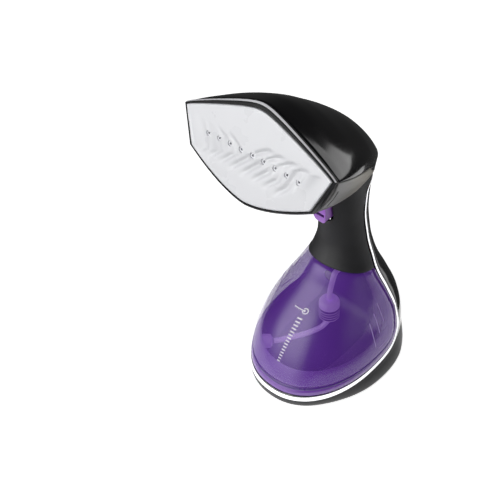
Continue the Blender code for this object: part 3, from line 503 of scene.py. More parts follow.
def head_outline(shrink, arc, low):
    """Closed outline of the head's front as (u, v) pairs, starting at the right shoulder.

    arc is how many steps half the roof has, low how many points half the lower edge has.
    """
    shoulder = shoulder_v(0.0) - 0.3 * shrink
    ridge = roof_v(0.0) - 1.92 * shrink
    corner_u = panel_low_u(0.0) - 0.9 * shrink
    corner_v = panel_low_v(0.0) + 0.4 * shrink
    bottom = keel_v(0.0) + shrink
    outline = []
    for turn in spread(math.pi / 2, -math.pi / 2, 2 * arc + 1):
        across = math.sin(turn)
        outline.append(((HEAD_HALF_WIDTH - shrink) * across, mix(shoulder, ridge, roof_shape(0.0, across))))
    steps = spread(0.0, 1.0, low)
    lower = [(mix(corner_u, 0.0, t), mix(corner_v, bottom, 1 - (1 - t) ** 1.6)) for t in steps]
    return outline + [(-u, v) for u, v in lower[:-1]] + [lower[-1]] + lower[-2::-1]


# Making pieces


def piece(name, points, faces, materials, body, stands_for=(), slot=None, kinds=None):
    """A named mesh that rides on a body. kinds gives each face's material number."""
    mesh = bpy.data.meshes.new(name)
    mesh.from_pydata([tuple(Vector(p) * MM) for p in points], [], faces)
    for material in materials:
        mesh.materials.append(LOOKS[material])
    if kinds:
        mesh.polygons.foreach_set("material_index", kinds)
    work = bmesh.new()
    work.from_mesh(mesh)
    bmesh.ops.remove_doubles(work, verts=work.verts, dist=2e-6)
    bmesh.ops.dissolve_degenerate(work, edges=work.edges, dist=1e-6)
    bmesh.ops.recalc_face_normals(work, faces=work.faces)
    work.to_mesh(mesh)
    work.free()
    mesh.shade_smooth()
    mesh.set_sharp_from_angle(angle=SHARP_ANGLE)
    thing = bpy.data.objects.new(name, mesh)
    bpy.context.scene.collection.objects.link(thing)
    if body:
        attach(thing, body)
        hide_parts(*stands_for)
    return thing


def ring_faces(rings, closed=False):
    """Faces through rings of points, as point numbers. Open stacks get flat ends."""
    size = len(rings[0])
    count = len(rings)
    faces = []
    for i in range(count if closed else count - 1):
        a, b = i * size, ((i + 1) % count) * size
        faces += [(a + k, a + (k + 1) % size, b + (k + 1) % size, b + k) for k in range(size)]
    if not closed:
        faces += [tuple(range(size))[::-1], tuple(range((count - 1) * size, count * size))]
    return faces


def loft(name, rings, material, body, closed=False, **options):
    points = [p for ring in rings for p in ring]
    return piece(name, points, ring_faces(rings, closed), [material], body, **options)


def sheet(name, outer, inner, materials, body, open_start=False, paint=None, **options):
    """Shell between two grids of points of one size, closed round its edges.

    paint gives the material number for a side (outer, inner or edge) and a column. open_start leaves the
    first row's edge open, for a row that is folded onto itself.
    """
    rows, columns = len(outer), len(outer[0])
    points = [p for grid in (outer, inner) for row in grid for p in row]
    half = rows * columns
    faces = []
    for base in (0, half):
        for i in range(rows - 1):
            a = base + i * columns
            faces += [(a + j, a + j + 1, a + columns + j + 1, a + columns + j) for j in range(columns - 1)]
    edge = list(range(columns)) + [i * columns + columns - 1 for i in range(1, rows)]
    edge += [half - 1 - j for j in range(1, columns)] + [i * columns for i in range(rows - 2, -1, -1)]
    if open_start:
        edge = edge[columns - 1 :]
    faces += [(a, b, b + half, a + half) for a, b in zip(edge, edge[1:])]
    paint = paint or (lambda side, column: 0)
    kinds = []
    for side in ("outer", "inner"):
        kinds += [paint(side, column) for column in range(columns - 1)] * (rows - 1)
    kinds += [paint("edge", 0)] * (len(faces) - len(kinds))
    return piece(name, points, faces, materials, body, kinds=kinds, **options)


def stops(length, count):
    """Distances from 0 to length with extra ones near both ends."""
    near = [0.0, 0.3, 0.7, 1.2]
    return near[:-1] + spread(near[-1], length - near[-1], count) + [length - d for d in near[-2::-1]]


def edge_dip(distance, depth=0.5, radius=1.2):
    """How far a surface turns in near its edge."""
    return depth * (1 - min(distance / radius, 1.0)) ** 2


def shell(name, node, point, width, length, counts, wall, material):
    """Shell of the housing from point(s, t, inset), s and t from 0 to 1, with rounded edges.

    width and length are its rough size, which spaces the points near its edges.
    """
    across = [d / width for d in stops(width, counts[0])]
    along = [d / length for d in stops(length, counts[1])]

    def rounded(s, t):
        side, end = min(s, 1 - s) * width, min(t, 1 - t) * length
        return point(s, t, edge_dip(min(side, end)))

    outer = [[rounded(s, t) for s in across] for t in along]
    inner = [[point(s, t, wall) for s in across] for t in along]
    return sheet(name, outer, inner, [material], "housing", stands_for=[node])


def frame_of(axis):
    """Two directions at right angles to an axis and to each other."""
    helper = Vector((1, 0, 0)) if abs(axis.x) < 0.9 else BACK
    side = axis.cross(helper).normalized()
    return side, axis.cross(side)


def circle(centre, side, up, radius, count):
    """Points of a circle. side and up are two directions in its plane."""
    return [centre + side * (radius * math.cos(t)) + up * (radius * math.sin(t)) for t in full_turn(count)]


def turned(name, base, axis, profile, material, body, count=48, **options):
    """Round piece from (distance along axis, radius) pairs."""
    axis = Vector(axis).normalized()
    sides = frame_of(axis)
    rings = [circle(Vector(base) + axis * along, *sides, radius, count) for along, radius in profile]
    return loft(name, rings, material, body, **options)


def smooth_route(points, count):
    """Catmull-Rom curve through a route's points."""
    padded = [points[0] * 2 - points[1]] + points + [points[-1] * 2 - points[-2]]
    route = []
    for s in spread(0.0, len(points) - 1.0, count):
        i = min(int(s), len(points) - 2)
        t = s - i
        a, b, c, d = padded[i : i + 4]
        bend = (2 * a - 5 * b + 4 * c - d) * t * t + (3 * b - a - 3 * c + d) * t**3
        route.append(0.5 * (2 * b + (c - a) * t + bend))
    return route


def pipe(name, points, radius, material, body, count=60, sides=20, **options):
    """Round tube along a smooth curve through points."""
    route = smooth_route([Vector(point) for point in points], count)
    rings = []
    side = None
    for i, point in enumerate(route):
        along = (route[min(i + 1, count - 1)] - route[max(i - 1, 0)]).normalized()
        side = frame_of(along)[0] if side is None else (side - along * side.dot(along)).normalized()
        rings.append(circle(point, side, along.cross(side), radius, sides))
    return loft(name, rings, material, body, **options)


def prism(name, outline, shift, material="inner_black", body=None, **options):
    """Piece from a flat outline swept by shift."""
    return loft(name, [outline, [p + shift for p in outline]], material, body, **options)


def carve(thing, *cutters, operation="DIFFERENCE"):
    """Cuts the cutters out of thing's mesh and removes them."""
    for cutter in cutters:
        change = thing.modifiers.new("carve", "BOOLEAN")
        change.operation = operation
        change.object = cutter
        change.solver = "EXACT"
    bpy.context.view_layer.update()
    shape = thing.evaluated_get(bpy.context.evaluated_depsgraph_get())
    thing.data = bpy.data.meshes.new_from_object(shape)
    thing.data.name = thing.name
    thing.modifiers.clear()
    for cutter in cutters:
        bpy.data.objects.remove(cutter, do_unlink=True)
    thing.data.set_sharp_from_angle(angle=SHARP_ANGLE)


def paint_faces(thing, material, wanted):
    """Gives the faces that pass a test a material of their own."""
    thing.data.materials.append(LOOKS[material])
    for face in thing.data.polygons:
        if wanted(face):
            face.material_index = len(thing.data.materials) - 1


def round_edges(thing, width):
    rounding = thing.modifiers.new("edges", "BEVEL")
    rounding.width = width * MM
    rounding.segments = 3
    rounding.limit_method = "ANGLE"
    rounding.angle_limit = math.radians(40)
    rounding.harden_normals = True


LOOKS = make_materials()


# Tank

TANK_BOTTOM = TRIM_LEVEL + trim_half(TRIM_LEVEL) + GAP + rim_width(TRIM_LEVEL) + GAP
DOCK_Z = 80.0
PLUG_X = -22.0
PLUG_Z = 46.0
# The bulb's inside starts this much higher and further in than its outside.
INNER_STEP = 11.0
INNER_INSET = 5.0
# Share of the rear wall's half width that is dark inside.
DARK_SHARE = 0.6
SPIGOT_RADIUS = 3.9
MOUTH_RADIUS = 5.6
CARTRIDGE_X = 9
CARTRIDGE_Z = 50
TUBE_RADIUS = 2.2
MARK_RISE = 0.12
MARK_DEPTH = 0.25


def wall_y(z):
    """Where the tank's flat rear wall lies at a height."""
    levels = spread(40.0, TANK_TOP, 64)
    points = [skin(level, seam_angle(level, trim_half(level) + GAP)) for level in levels]
    return min(points, key=lambda point: abs(point.z - z)).y


def build_tank_bulb():
    """Front of the tank: clear outside, deep purple inside, closed over the top by rows folded to a line."""
    columns = 70

    def row(level, inset, narrower=1.0, dip=0.0):
        shift = trim_half(level) + GAP + rim_width(level) + 5 * GAP
        reach = seam_angle(max(level, TANK_BOTTOM), shift) * narrower
        steps = [d / girth(level) for d in stops(2 * reach * girth(level), columns)]
        points = []
        for step in steps:
            side = min(step, 2 * reach - step) * girth(level)
            own = inset if inset else max(edge_dip(side, 0.8, 1.4), dip)
            points.append(skin(level, step - reach, own))
        return points

    levels = [TANK_BOTTOM + d for d in (0, 0.35, 0.75, 1.3)]
    levels += spread(TANK_BOTTOM + 2.0, TANK_TOP - 2.2, 46)
    levels += [TANK_TOP - d for d in (1.6, 1.0, 0.5, 0.0)]
    outer = []
    inner = []
    for level in levels:
        dip = max(edge_dip(level - TANK_BOTTOM, 0.8, 1.4), edge_dip(TANK_TOP - level, 1.3, 1.6))
        outer.append(row(level, 0.0, dip=dip))
        share = (level - TANK_BOTTOM) / (TANK_TOP - TANK_BOTTOM)
        low = TANK_BOTTOM + INNER_STEP
        inner_level = mix(low, TANK_TOP - WALL, share)
        inner.append(row(inner_level, mix(INNER_INSET, WALL, smooth((inner_level - low) / 45)), 0.985))
    for grid in (outer, inner):
        last = grid[-1]
        start, end = last[0], last[-1]
        for t in (0.2, 0.4, 0.6, 0.8, 1.0):
            grid.append([p.lerp(start.lerp(end, i / (len(last) - 1)), t) for i, p in enumerate(last)])

    def paint(side, column):
        return ("outer", "inner", "edge").index(side)

    looks = ["tank_clear", "tank_deep", "tank_floor"]
    options = {"paint": paint, "stands_for": ["tank_shell"], "slot": "tank_purple"}
    sheet("tank_bulb", outer, inner, looks, "tank", **options)


def build_tank_back():
    """The tank's rim and flat rear wall, with the holes of the spigot and the filling mouth."""
    line = trim_line(60, 16, 60)
    places = [(level, angle) for level, angle in line if level < TANK_TOP - 1.0]
    places.append((TANK_TOP - 1.0, seam_angle(TANK_TOP - 1.0, 0.0)))
    flat_end = seam_angle(TRIM_LEVEL, 0.0)

    def shifted(level, angle, shift, inset=0.0):
        """Place next to (level, angle) of the trim's line, shift millimetres towards the tank."""
        if level <= TRIM_LEVEL + 0.001:
            own_end = seam_angle(TRIM_LEVEL + shift, shift)
            return skin(TRIM_LEVEL + shift, angle * own_end / flat_end, inset)
        climb = min((level - TRIM_LEVEL) / TRIM_CORNER, 1.0)
        own_level = level if climb >= 1.0 else TRIM_LEVEL + shift + climb * (TRIM_CORNER - shift)
        return skin(own_level, seam_angle(own_level, shift), inset)

    def across_and_back(band):
        """A band's points, the flat wall to the other side, and the band mirrored."""
        end = band[-1]
        wall = [Vector((x, end.y, end.z)) for x in spread(end.x, -end.x, 33)]
        return band + wall[1:-1] + [mirrored(p, -1) for p in band[::-1]]

    shares = (1.0, 0.96, 0.88, 0.8, 0.66, 0.5, 0.34, 0.2, 0.08, 0.0)
    outer = []
    inner = []
    for level, angle in places:
        edge = trim_half(level) + GAP
        rim = rim_width(level)
        band = []
        band_in = []
        for share in shares:
            near = min(share, 1 - share) * rim
            ridge = 0.45 * math.exp(-(((share - 0.66) / 0.09) ** 2)) * smooth((rim - 3) / 3)
            band.append(shifted(level, angle, edge + share * rim, edge_dip(near, 0.35, 0.9) + ridge))
            band_in.append(shifted(level, angle, edge + WALL + share * max(rim - WALL, 0.0), WALL))
        outer.append(across_and_back(band))
        inner.append(across_and_back(band_in))
    half = len(outer[0]) // 2

    def paint(side, column):
        """Dark next to the bulb as painted shade in the groove there and light next to the trim outside, dark
        in the middle of the wall inside.
        """
        from_middle = abs(column + 0.5 - half) / (half - len(shares))
        if side == "outer":
            return 0 if min(column, 2 * half - column - 1) > 3 else 1
        return 2 if from_middle < DARK_SHARE else 3

    looks = ["tank_rim", "tank_groove_shade", "tank_back_in", "tank_floor"]
    options = {"open_start": True, "paint": paint, "stands_for": ["tank_back"], "slot": "tank_purple"}
    back = sheet("tank_rim_and_wall", outer, inner, looks, "tank", **options)
    spigot = Vector((0, wall_y(DOCK_Z) - 12, DOCK_Z))
    mouth = Vector((PLUG_X, wall_y(PLUG_Z) - 8, PLUG_Z))
    carve(
        back,
        turned("spigot_hole", spigot, BACK, [(0, SPIGOT_RADIUS), (24, SPIGOT_RADIUS)], "tank_rim", None),
        turned("filler_mouth", mouth, BACK, [(0, MOUTH_RADIUS), (16, MOUTH_RADIUS)], "tank_rim", None),
    )


def build_tank_fittings():
    """Tubes, cartridge and inlet that show through the tank, glowing faintly as painted light coming through
    it.
    """

    def in_groove(face):
        """Whether a face of the cartridge lies at the bottom of a groove between its ribs."""
        x, y, z = face.center / MM
        return math.hypot(x - CARTRIDGE_X, y) < 7.5 and 2 < z - CARTRIDGE_Z < 14

    y = wall_y(DOCK_Z)
    route = [(0, y - 9.4, DOCK_Z), (0, y - 14, DOCK_Z), (1.5, 15, DOCK_Z + 1), (7, 4, 78.5)]
    route += [(CARTRIDGE_X, 0, 75), (CARTRIDGE_X, 0, 70.6)]
    options = {"slot": "silicone", "body": "tank", "material": "tube_lilac"}
    pipe("suction_tube_upper", route, TUBE_RADIUS, stands_for=["tank_tube_upper"], **options)
    ribs = [(0.0, 5.2), (0.5, 5.8), (1.5, 7.8)]
    for i in range(4):
        ribs += [(2.3 + 2.6 * i, 8.3), (3.1 + 2.6 * i, 8.3), (3.4 + 2.6 * i, 6.7), (4.6 + 2.6 * i, 6.7)]
    ribs += [(13.4, 8.3), (17.0, 8.2), (18.6, 7.6), (19.6, 6.6), (20.0, 5.4)]
    base = (CARTRIDGE_X, 0, CARTRIDGE_Z)
    cartridge = turned("cartridge", base, UP, ribs, count=64, stands_for=["filter_cartridge"], **options)
    # The groove bottoms are painted dark: painted shade between the ribs.
    paint_faces(cartridge, "silicone_groove_shade", in_groove)
    route = [(CARTRIDGE_X, -1, 48.8), (8.4, -2, 45), (5, -7, 39), (-4, -17, 33), (-16, -29, 28)]
    route.append((-20.4, -33.7, 27.2))
    pipe("suction_tube_lower", route, TUBE_RADIUS, stands_for=["tank_tube_lower"], **options)
    profile = [(0, 3.2), (0.4, 3.9), (1.2, 5.4), (2.0, 5.7), (4.2, 5.8), (6.5, 5.7)]
    profile += [(8.2, 5.1), (9.4, 3.9), (10.0, 2.2)]
    base, axis = (-21.4, -34.6, 27.1), (-0.75, -0.66, -0.02)
    turned("inlet_weight", base, axis, profile, stands_for=["strainer_weight"], **options)


def on_front(x, z, lift):
    """Point of the tank's front at a height, x to the side of the middle."""
    angle = math.copysign(math.asin((abs(x) / half_width(z)) ** (squareness(z) / 2)), x)
    return body_point(z, angle, -lift)


def ribbon(name, route, width, place, material):
    """Thin strip along a route of flat (a, b) places, laid on a surface by place(a, b, lift)."""
    last = len(route) - 1
    rings = []
    for i, (a, b) in enumerate(route):
        ahead = route[min(i + 1, last)]
        behind = route[max(i - 1, 0)]
        along = Vector((ahead[0] - behind[0], ahead[1] - behind[1])).normalized()
        own = width[min(i, len(width) - 1)] / 2
        ring = [place(a - along.y * side, b + along.x * side, MARK_RISE) for side in (-own, 0.0, own)]
        ring += [place(a - along.y * side, b + along.x * side, -MARK_DEPTH) for side in (own, 0.0, -own)]
        rings.append(ring)
    loft(name, rings, material, "tank", slot="ceramic_white")


def build_level_marks():
    """Plain bar, ring and dashes down the front of the tank."""

    def near_top(a, b, lift):
        return on_front(a, 76.8 + 0.66 * b, lift)

    bar = list(zip(spread(-2.2, 7.6, 12), spread(0.1, -0.1, 12)))
    ribbon("level_bar", bar, [0.6] * 10 + [1.5, 1.1], near_top, "mark_white")
    turns = spread(math.radians(-160), math.radians(140), 40)
    ring = [(7.5 + 2.2 * math.cos(t), 2.2 * math.sin(t) - 0.1) for t in turns]
    ribbon("level_ring", ring, [0.6], near_top, "mark_white")
    for i, t in enumerate(spread(0.0, 1.0, 16)[1:]):
        x, z = mix(6.6, 2.3, t), mix(74.3, 37.9, t)
        half = mix(4.35, 2.5, t) / 2
        ribbon(f"level_dash_{i + 1}", [(x - half, z), (x, z), (x + half, z)], [0.72], on_front, "mark_white")


def build_engraved_lines():
    """Fine lines on both sides of the tank, painted pale lilac as a highlight, each from one (height, degrees
    from the front) to another.
    """
    lines = [
        ((69.4, 96.1), (53.1, 97.2)),
        ((64.3, 89.8), (47.1, 91.4)),
        ((60.1, 83.8), (38.2, 87.1)),
        ((34.7, 89.8), (35.2, 99.7)),
    ]
    for i, (start, end) in enumerate(lines):
        for hand, side in (("right", 1), ("left", -1)):
            points = []
            for along in spread(0.0, 1.0, 24):
                turn = math.radians(mix(start[1], end[1], along))
                points.append(mirrored(body_point(mix(start[0], end[0], along), turn), side))
            pipe(f"side_line_{hand}_{i + 1}", points, 0.28, "tank_line_highlight", "tank", 24, 8, slot="tank_purple")


# Housing


def u_outline(radius, height):
    """U shape across the front: round below, straight sides up to the head, round part centred at height."""
    turns = [math.radians(a) for a in spread(180.0, 360.0, 41)]
    outline = [Vector((radius * math.cos(t), 0, height + radius * math.sin(t))) for t in turns]
    return outline + [Vector((radius, 0, 180.0)), Vector((-radius, 0, 180.0))]


def build_base():
    """Tray that flares out at the bottom, with the holes of the screws."""
    top = TRIM_LEVEL - trim_half(TRIM_LEVEL) - GAP
    turns = full_turn(160)
    flares = [foot_flare(math.degrees(min(turn, 2 * math.pi - turn))) for turn in turns]

    def ring(level, inset, share=0.0):
        return [skin(level, turn, inset - share * flare) for turn, flare in zip(turns, flares)]

    def flat(height, inset, share):
        return [body_point(height, turn, inset - share * flare) for turn, flare in zip(turns, flares)]

    rings = [flat(1.2, 1.8, 1.0), flat(1.35, 1.0, 1.0), flat(1.8, 0.4, 1.0), ring(2.3, 0.1, 0.86)]
    rings += [ring(2.8, 0, 0.78), ring(4.5, 0.0, 0.52), ring(6.3, 0.0, 0.24)]
    rings += [ring(top - 0.5, 0.0), ring(top - 0.1, 0.2)]
    rings += [ring(top, 0.6), ring(top, WALL), ring(3.4, WALL), flat(3.4, WALL + 2.0, 0.85)]
    foot = loft("base_tray", rings, "base_grey", "housing", stands_for=["base_foot"])
    for x, y in FOOT_PLACES:
        carve(foot, turned("hole", (x, y, 0.5), UP, [(0, 2.0), (4, 2.0)], "base_grey", None, 24))


def build_trim():
    """One closed bright strip: round the front of the base, up both sides of the neck and over its back."""
    right = trim_line(90, 20, 90)
    for turn in spread(0.0, math.pi / 2, 24)[1:-1]:
        level = ARCH_START + (ARCH_TOP - ARCH_START) * math.sin(turn)
        right.append((level, seam_angle(level, 0.0)))
    right.append((ARCH_TOP, math.pi))
    path = right + [(level, -angle) for level, angle in right[-2:0:-1]]
    points = [skin(level, angle) for level, angle in path]
    rings = []
    for i, (level, angle) in enumerate(path):
        along = (points[(i + 1) % len(points)] - points[i - 1]).normalized()
        by_angle = skin(level, angle + 0.02) - skin(level, angle - 0.02)
        by_level = skin(level + 1, angle) - skin(level - 1, angle)
        normal = by_angle.cross(by_level).normalized()
        across = normal.cross(along).normalized()
        half = trim_half(level)
        profile = [(-half + 0.6, -0.8), (-half, -0.2)]
        for degrees in spread(-TRIM_CROWN, TRIM_CROWN, 11):
            turn = math.radians(degrees)
            rise = 0.6 * math.cos(turn) - 0.1
            profile.append((half * math.sin(turn) / math.sin(math.radians(TRIM_CROWN)), rise))
        profile += [(half, -0.2), (half - 0.6, -0.8)]
        rings.append([points[i] + across * a + normal * b for a, b in profile])
    loft("bright_trim", rings, "chrome", "housing", closed=True, stands_for=["chrome_trim"])


def build_rear_cover():
    """Glossy spine with the gland of the cord."""
    bottom = TRIM_LEVEL - trim_half(TRIM_LEVEL) + 2 * GAP

    def point(s, t, inset):
        level = mix(bottom, 183.0, t)
        start = seam_angle(level, -trim_half(level) - 2 * GAP)
        return skin(level, mix(start, 2 * math.pi - start, s), inset)

    cover = shell("spine_cover", "rear_cover", point, 90, 172, (60, 90), WALL, "glossy_black")
    rear = body_point(GLAND_Z, math.pi).y
    carve(cover, turned("hole", (0, rear - 10, GLAND_Z), BACK, [(0, 6.3), (20, 6.3)], "glossy_black", None))
    profile = [(-6.6, 3.6), (-6.6, 7.6), (-4.8, 7.6), (-4.8, 5.9), (0.4, 5.9), (0.4, 7.4), (0.7, 7.55)]
    profile += [(1.0, 7.2), (1.2, 6.4), (1.2, 3.9), (1.0, 3.6)]
    options = {"closed": True, "stands_for": ["cord_gland"]}
    turned("gland", (0, rear, GLAND_Z), BACK, profile, "rubber", "housing", **options)


def build_grip():
    """Neck that the hand holds, up to its slanted upper end in the head, with the trigger's slot."""
    over_arch = ARCH_TOP + trim_half(ARCH_TOP) + 3 * GAP
    limit = math.radians(179.2)
    seam_share = 0.92

    def point(s, t, inset):
        if t <= seam_share:
            level = mix(TANK_TOP + 2 * GAP, over_arch, t / seam_share)
            reach = min(seam_angle(level, trim_half(level) + 2.5 * GAP), limit)
            return skin(level, mix(-reach, reach, s), inset)
        share = (t - seam_share) / (1 - seam_share)
        turn = mix(-limit, limit, s)
        low = skin(over_arch, turn, inset)
        return low.lerp(body_point(grip_rim(math.degrees(abs(turn))), turn, inset), share)

    grip = shell("grip", "grip_shell", point, 90, 96, (70, 90), WALL, "matte_black")
    slot = [p + BACK * -25 for p in u_outline(SLOT_RADIUS, SLOT_Z)]
    carve(grip, prism("slot", slot, BACK * 34))


# Head

PLATE_BACK = head_point(0, 1, 0) - head_point(0, 0, 0)


def build_top_shell():
    """Glossy roof of the head."""

    def point(s, t, inset):
        turn = mix(-math.pi / 2, math.pi / 2, s)
        n = mix(SHELL_START, HEAD_LENGTH - min(inset, 2.6), t)
        return roof_point(n, turn, inset)

    shell("head_cover", "head_top_shell", point, 150, 140, (120, 110), WALL, "glossy_black")


def panel_point(n, down, inset=0.0):
    """Point of a right-hand side panel: down is 0 at the shoulder and 1 at the lower edge."""
    bulge = 1.6 * math.sin(math.pi * down)
    u = mix(shoulder_u(n), panel_low_u(n), down) + bulge - inset
    v = mix(shoulder_v(n) - 2 * GAP, panel_low_v(n) + GAP, down)
    return head_point(u, n, v)


def build_side_panels():
    """Gunmetal panels below the shoulders, each with a short slot near the front; their colour pales towards
    the rear as a painted reflection.
    """
    for hand, side in (("right", 1), ("left", -1)):

        def point(s, t, inset):
            n = mix(SHELL_START, mix(PANEL_END_TOP, PANEL_END_LOW, s), t)
            return mirrored(panel_point(n, s, inset), side)

        name, node = f"panel_cover_{hand}", f"side_panel_{hand}"
        panel = shell(name, node, point, 26, 80, (30, 70), HEAD_WALL, "gunmetal")
        route = [mirrored(panel_point(8.2, down), side) for down in spread(0.28, 0.80, 8)]
        carve(panel, pipe("slot", route, 0.75, "gunmetal", None, 20, 12))


def build_tail_band():
    """Band from one side panel round the back of the neck to the other, below the roof.

    stations are (n, share of the way down) on the panel's rear edge, tail (n, angle) on the neck's end.
    """
    stations = [(66, 0.06), (76, 0.30), (86, 0.54), (96, 0.78), (104, 0.96)]
    low = [panel_point(mix(PANEL_END_TOP, PANEL_END_LOW, down) + 3 * GAP, down) for _, down in stations]
    tail = [(111, 110), (117, 122), (123, 136), (128, 152), (132, 180)]
    low += [body_point(grip_rim(turn) + 3 * GAP, math.radians(turn)) for _, turn in tail]
    lower = smooth_route(low, 91)
    along = curve_through(list(enumerate(n for n, _ in stations + tail)))

    def point(s, t, inset):
        place = 9 * (1 - abs(2 * t - 1))
        n = along(place)
        top = head_point(shoulder_u(n), n, shoulder_v(n) - 3 * GAP)
        spot = top.lerp(lower[round(place * 10)], s)
        spot += (Vector((0, min(spot.y, 28), spot.z)) - spot).normalized() * inset
        return mirrored(spot, 1 if t <= 0.5 else -1)

    shell("head_tail_band", "tail_band", point, 30, 180, (16, 161), HEAD_WALL, "glossy_black")


def build_lower_shell():
    """Underside of the head, open where the neck comes up into it."""

    def point(s, t, inset):
        n = mix(SHELL_START, PANEL_END_LOW - 4.0, t)
        share = mix(1.0, -1.0, s)
        edge_u = panel_low_u(n) - 0.8 - inset
        edge_v = panel_low_v(n) - GAP
        depth = max(edge_v - keel_v(n) - inset, 0.4)
        return head_point(edge_u * share, n, edge_v - (1 - abs(share) ** 1.7) * depth)

    name, node = "head_underside", "head_lower_shell"
    underside = shell(name, node, point, 110, 96, (70, 60), HEAD_WALL, "matte_black")
    heights = (160, 166, 172, 178, 184, 199)
    rings = [[body_point(z, turn, -2 * GAP) for turn in full_turn(96)] for z in heights]
    rings.append([point + Vector((0, 0, 40)) for point in rings[-1]])
    carve(underside, loft("neck_opening", rings, "matte_black", None))


def outline_ring(shrink, n, arc, low):
    return [head_point(u, n, v) for u, v in head_outline(shrink, arc, low)]


def build_frame():
    """Bezel whose edge bevel is painted light grey above the shoulders as a highlight and dark grey below
    them as a dimmer painted sheen.
    """
    arc, low = 60, 32
    back = SHELL_START - GAP
    profile = [(0.5, back), (0.1, 2.6), (0.0, 2.0), (0.0, 0.75), (0.12, 0.45), (0.62, -0.27)]
    profile += [(0.95, -0.75), (1.2, -0.95), (1.9, -1.0), (2.05, -0.8), (2.1, -0.2), (2.1, back)]
    rings = [outline_ring(shrink, n, arc, low) for shrink, n in profile]

    def look(band, place):
        """Material number in one band of the profile, at one place round the outline."""
        # Round the roof the bevel is painted light grey, a painted highlight.
        if place < 2 * arc:
            return 1 if band in (3, 4) else 0
        # Round the lower edge the bevel is painted dark grey, a dimmer painted sheen.
        return 2 if band in (4, 5) else 0

    kinds = [look(band, place) for band in range(len(rings)) for place in range(len(rings[0]))]
    points = [p for ring in rings for p in ring]
    looks = ["frame_black", "frame_highlight", "frame_sheen_and_hole_shade"]
    options = {"stands_for": ["head_frame"], "kinds": kinds, "slot": "glossy_black"}
    piece("plate_frame", points, ring_faces(rings, True), looks, "housing", **options)


def hole_places():
    """(u, v) of the steam holes, on a slight arch."""
    across = spread(-HOLE_HALF_SPAN, HOLE_HALF_SPAN, STEAM_HOLES)
    return [(u, 1.0 - (u / HOLE_HALF_SPAN) ** 2) for u in across]


def flute_depth(u, v):
    """Depth of the shallow grooves that lead away from the steam holes.

    Each hole has one down to the left. The fifth and later ones have a bent one up to the right too, the
    earlier ones a short one up to the left.
    """
    depth = 0.0
    for place, (hole_u, hole_v) in enumerate(hole_places()):
        du, dv = u - hole_u, v - hole_v
        along, across = (-du - dv) / DIAGONAL, (du - dv) / DIAGONAL
        if 0 < along < FLUTE_REACH:
            fade = smooth(along / 4) * (1 - smooth((along - 14) / (FLUTE_REACH - 14)))
            depth += FLUTE_DEPTH * fade * math.exp(-((across / 1.9) ** 2))
        if place >= 4 and 0 < du < 18:
            curve = 8.5 * (1 - (1 - du / 18) ** 2)
            fade = smooth(du / 3) * (1 - smooth((du - 9) / 9))
            depth += FLUTE_DEPTH * 0.9 * fade * math.exp(-(((dv - curve) / 1.8) ** 2))
        if place < 4 and 0 < -du < 14:
            across = (dv + du / 2) / 1.12
            fade = smooth(-du / 3) * (1 - smooth((-du - 6) / 8))
            depth += FLUTE_DEPTH * 0.5 * fade * math.exp(-((across / 1.6) ** 2))
    return depth


def build_soleplate():
    """Steam plate with a rounded rim, flutes and dimpled holes whose walls are painted dark grey as shade."""
    back_shrink = PLATE_INSET + WALL
    arc, low = 120, 60
    rings = [outline_ring(back_shrink, n, arc, low) for n in (5.5, SHELL_START - GAP)]
    rings += [outline_ring(PLATE_INSET, n, arc, low) for n in (SHELL_START - GAP, -0.2)]
    for turn in (30, 60):
        share = math.radians(turn)
        rings.append(outline_ring(PLATE_INSET + 1 - math.cos(share), -0.2 - math.sin(share), arc, low))
    rim = head_outline(PLATE_INSET + 1, arc, low)
    for scale in spread(1.0, 0.02, 100):
        ring = []
        for rim_u, rim_v in rim:
            u, v = rim_u * scale, rim_v * scale
            depth = flute_depth(u, v) * smooth((1 - scale) * 20)
            ring.append(head_point(u, -1.2 + depth, v))
        rings.append(ring)
    plate = loft("steam_plate", rings, "ceramic_white", "housing", stands_for=["soleplate"])
    cutters = []
    for u, v in hole_places():
        profile = [(0, 2.6), (1.7, 2.3), (1.95, 1.95), (2.7, 1.85), (2.72, 0.85), (12, 0.85)]
        cutter = turned("hole", head_point(u, -3.0, v), PLATE_BACK, profile, "ceramic_white", None, 32)
        # The holes' walls are painted dark grey: painted shade inside the holes.
        paint_faces(cutter, "frame_sheen_and_hole_shade", lambda face: abs(face.normal.dot(PLATE_BACK)) < 0.5)
        cutters.append(cutter)
    carve(plate, *cutters)


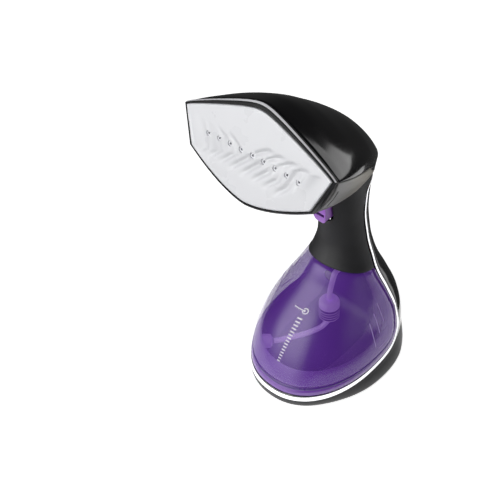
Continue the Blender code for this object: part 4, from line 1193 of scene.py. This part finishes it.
# Trigger


def build_trigger():
    """Trigger with a round lower end, a pocket for the finger whose ledge is painted dark as shadow, and the
    bore of its pin.
    """
    front = [(4.5, 177.5), (1.0, 176), (-1.2, 171), (-2.0, 164), (-2.0, 156), (-1.6, 149)]
    front += [(-0.4, 146.2), (5, 146)]
    rear = [(8.0, 149), (9, 156), (9, 167), (13, 170), (17.6, 171.6), (17.6, 176.4), (14, 178)]
    outline = smooth_route([Vector((-TRIGGER_HALF_WIDTH, y, z)) for y, z in front], 48)
    outline += [Vector((-TRIGGER_HALF_WIDTH, y, z)) for y, z in rear]
    across = Vector((2 * TRIGGER_HALF_WIDTH, 0, 0))
    trigger = prism("steam_trigger", outline, across, "trigger_purple", "trigger", stands_for=["trigger"])
    trigger.data.materials.append(LOOKS["trigger_pocket_shade"])
    u_start = [p + BACK * -12 for p in u_outline(TRIGGER_RADIUS, TRIGGER_Z)]
    carve(trigger, prism("round", u_start, BACK * 34), operation="INTERSECT")
    bore_start = (-12, *PIN_PLACE)
    bore = turned("pin_bore", bore_start, (1, 0, 0), [(0, 1.8), (24, 1.8)], "trigger_purple", None, 32)
    pocket_side = ((-9, 153.3), (-9, 171), (1.0, 171), (1.0, 156.4), (0.2, 153.3))
    corners = [Vector((-4.5, y, z)) for y, z in pocket_side]
    pocket = prism("pocket", corners, Vector((9, 0, 0)), "trigger_purple")
    # The pocket's ledge is painted dark as its shadow.
    paint_faces(pocket, "trigger_pocket_shade", lambda face: face.center.z < 153.8 * MM and abs(face.normal.z) > 0.9)
    carve(trigger, bore, pocket)
    round_edges(trigger, 0.7)


def dress_inner_parts():
    """Better materials for the CAD parts that stay."""
    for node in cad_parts.values():
        if not node.hide_render:
            name = node.material_slots[0].material.name.split(".")[0]
            node.material_slots[0].material = LOOKS[name]


build_tank_bulb()
build_tank_back()
build_tank_fittings()
build_level_marks()
build_engraved_lines()
build_base()
build_trim()
build_rear_cover()
build_grip()
build_top_shell()
build_side_panels()
build_tail_band()
build_lower_shell()
build_frame()
build_soleplate()
build_trigger()
dress_inner_parts()

add_camera()
add_surroundings()
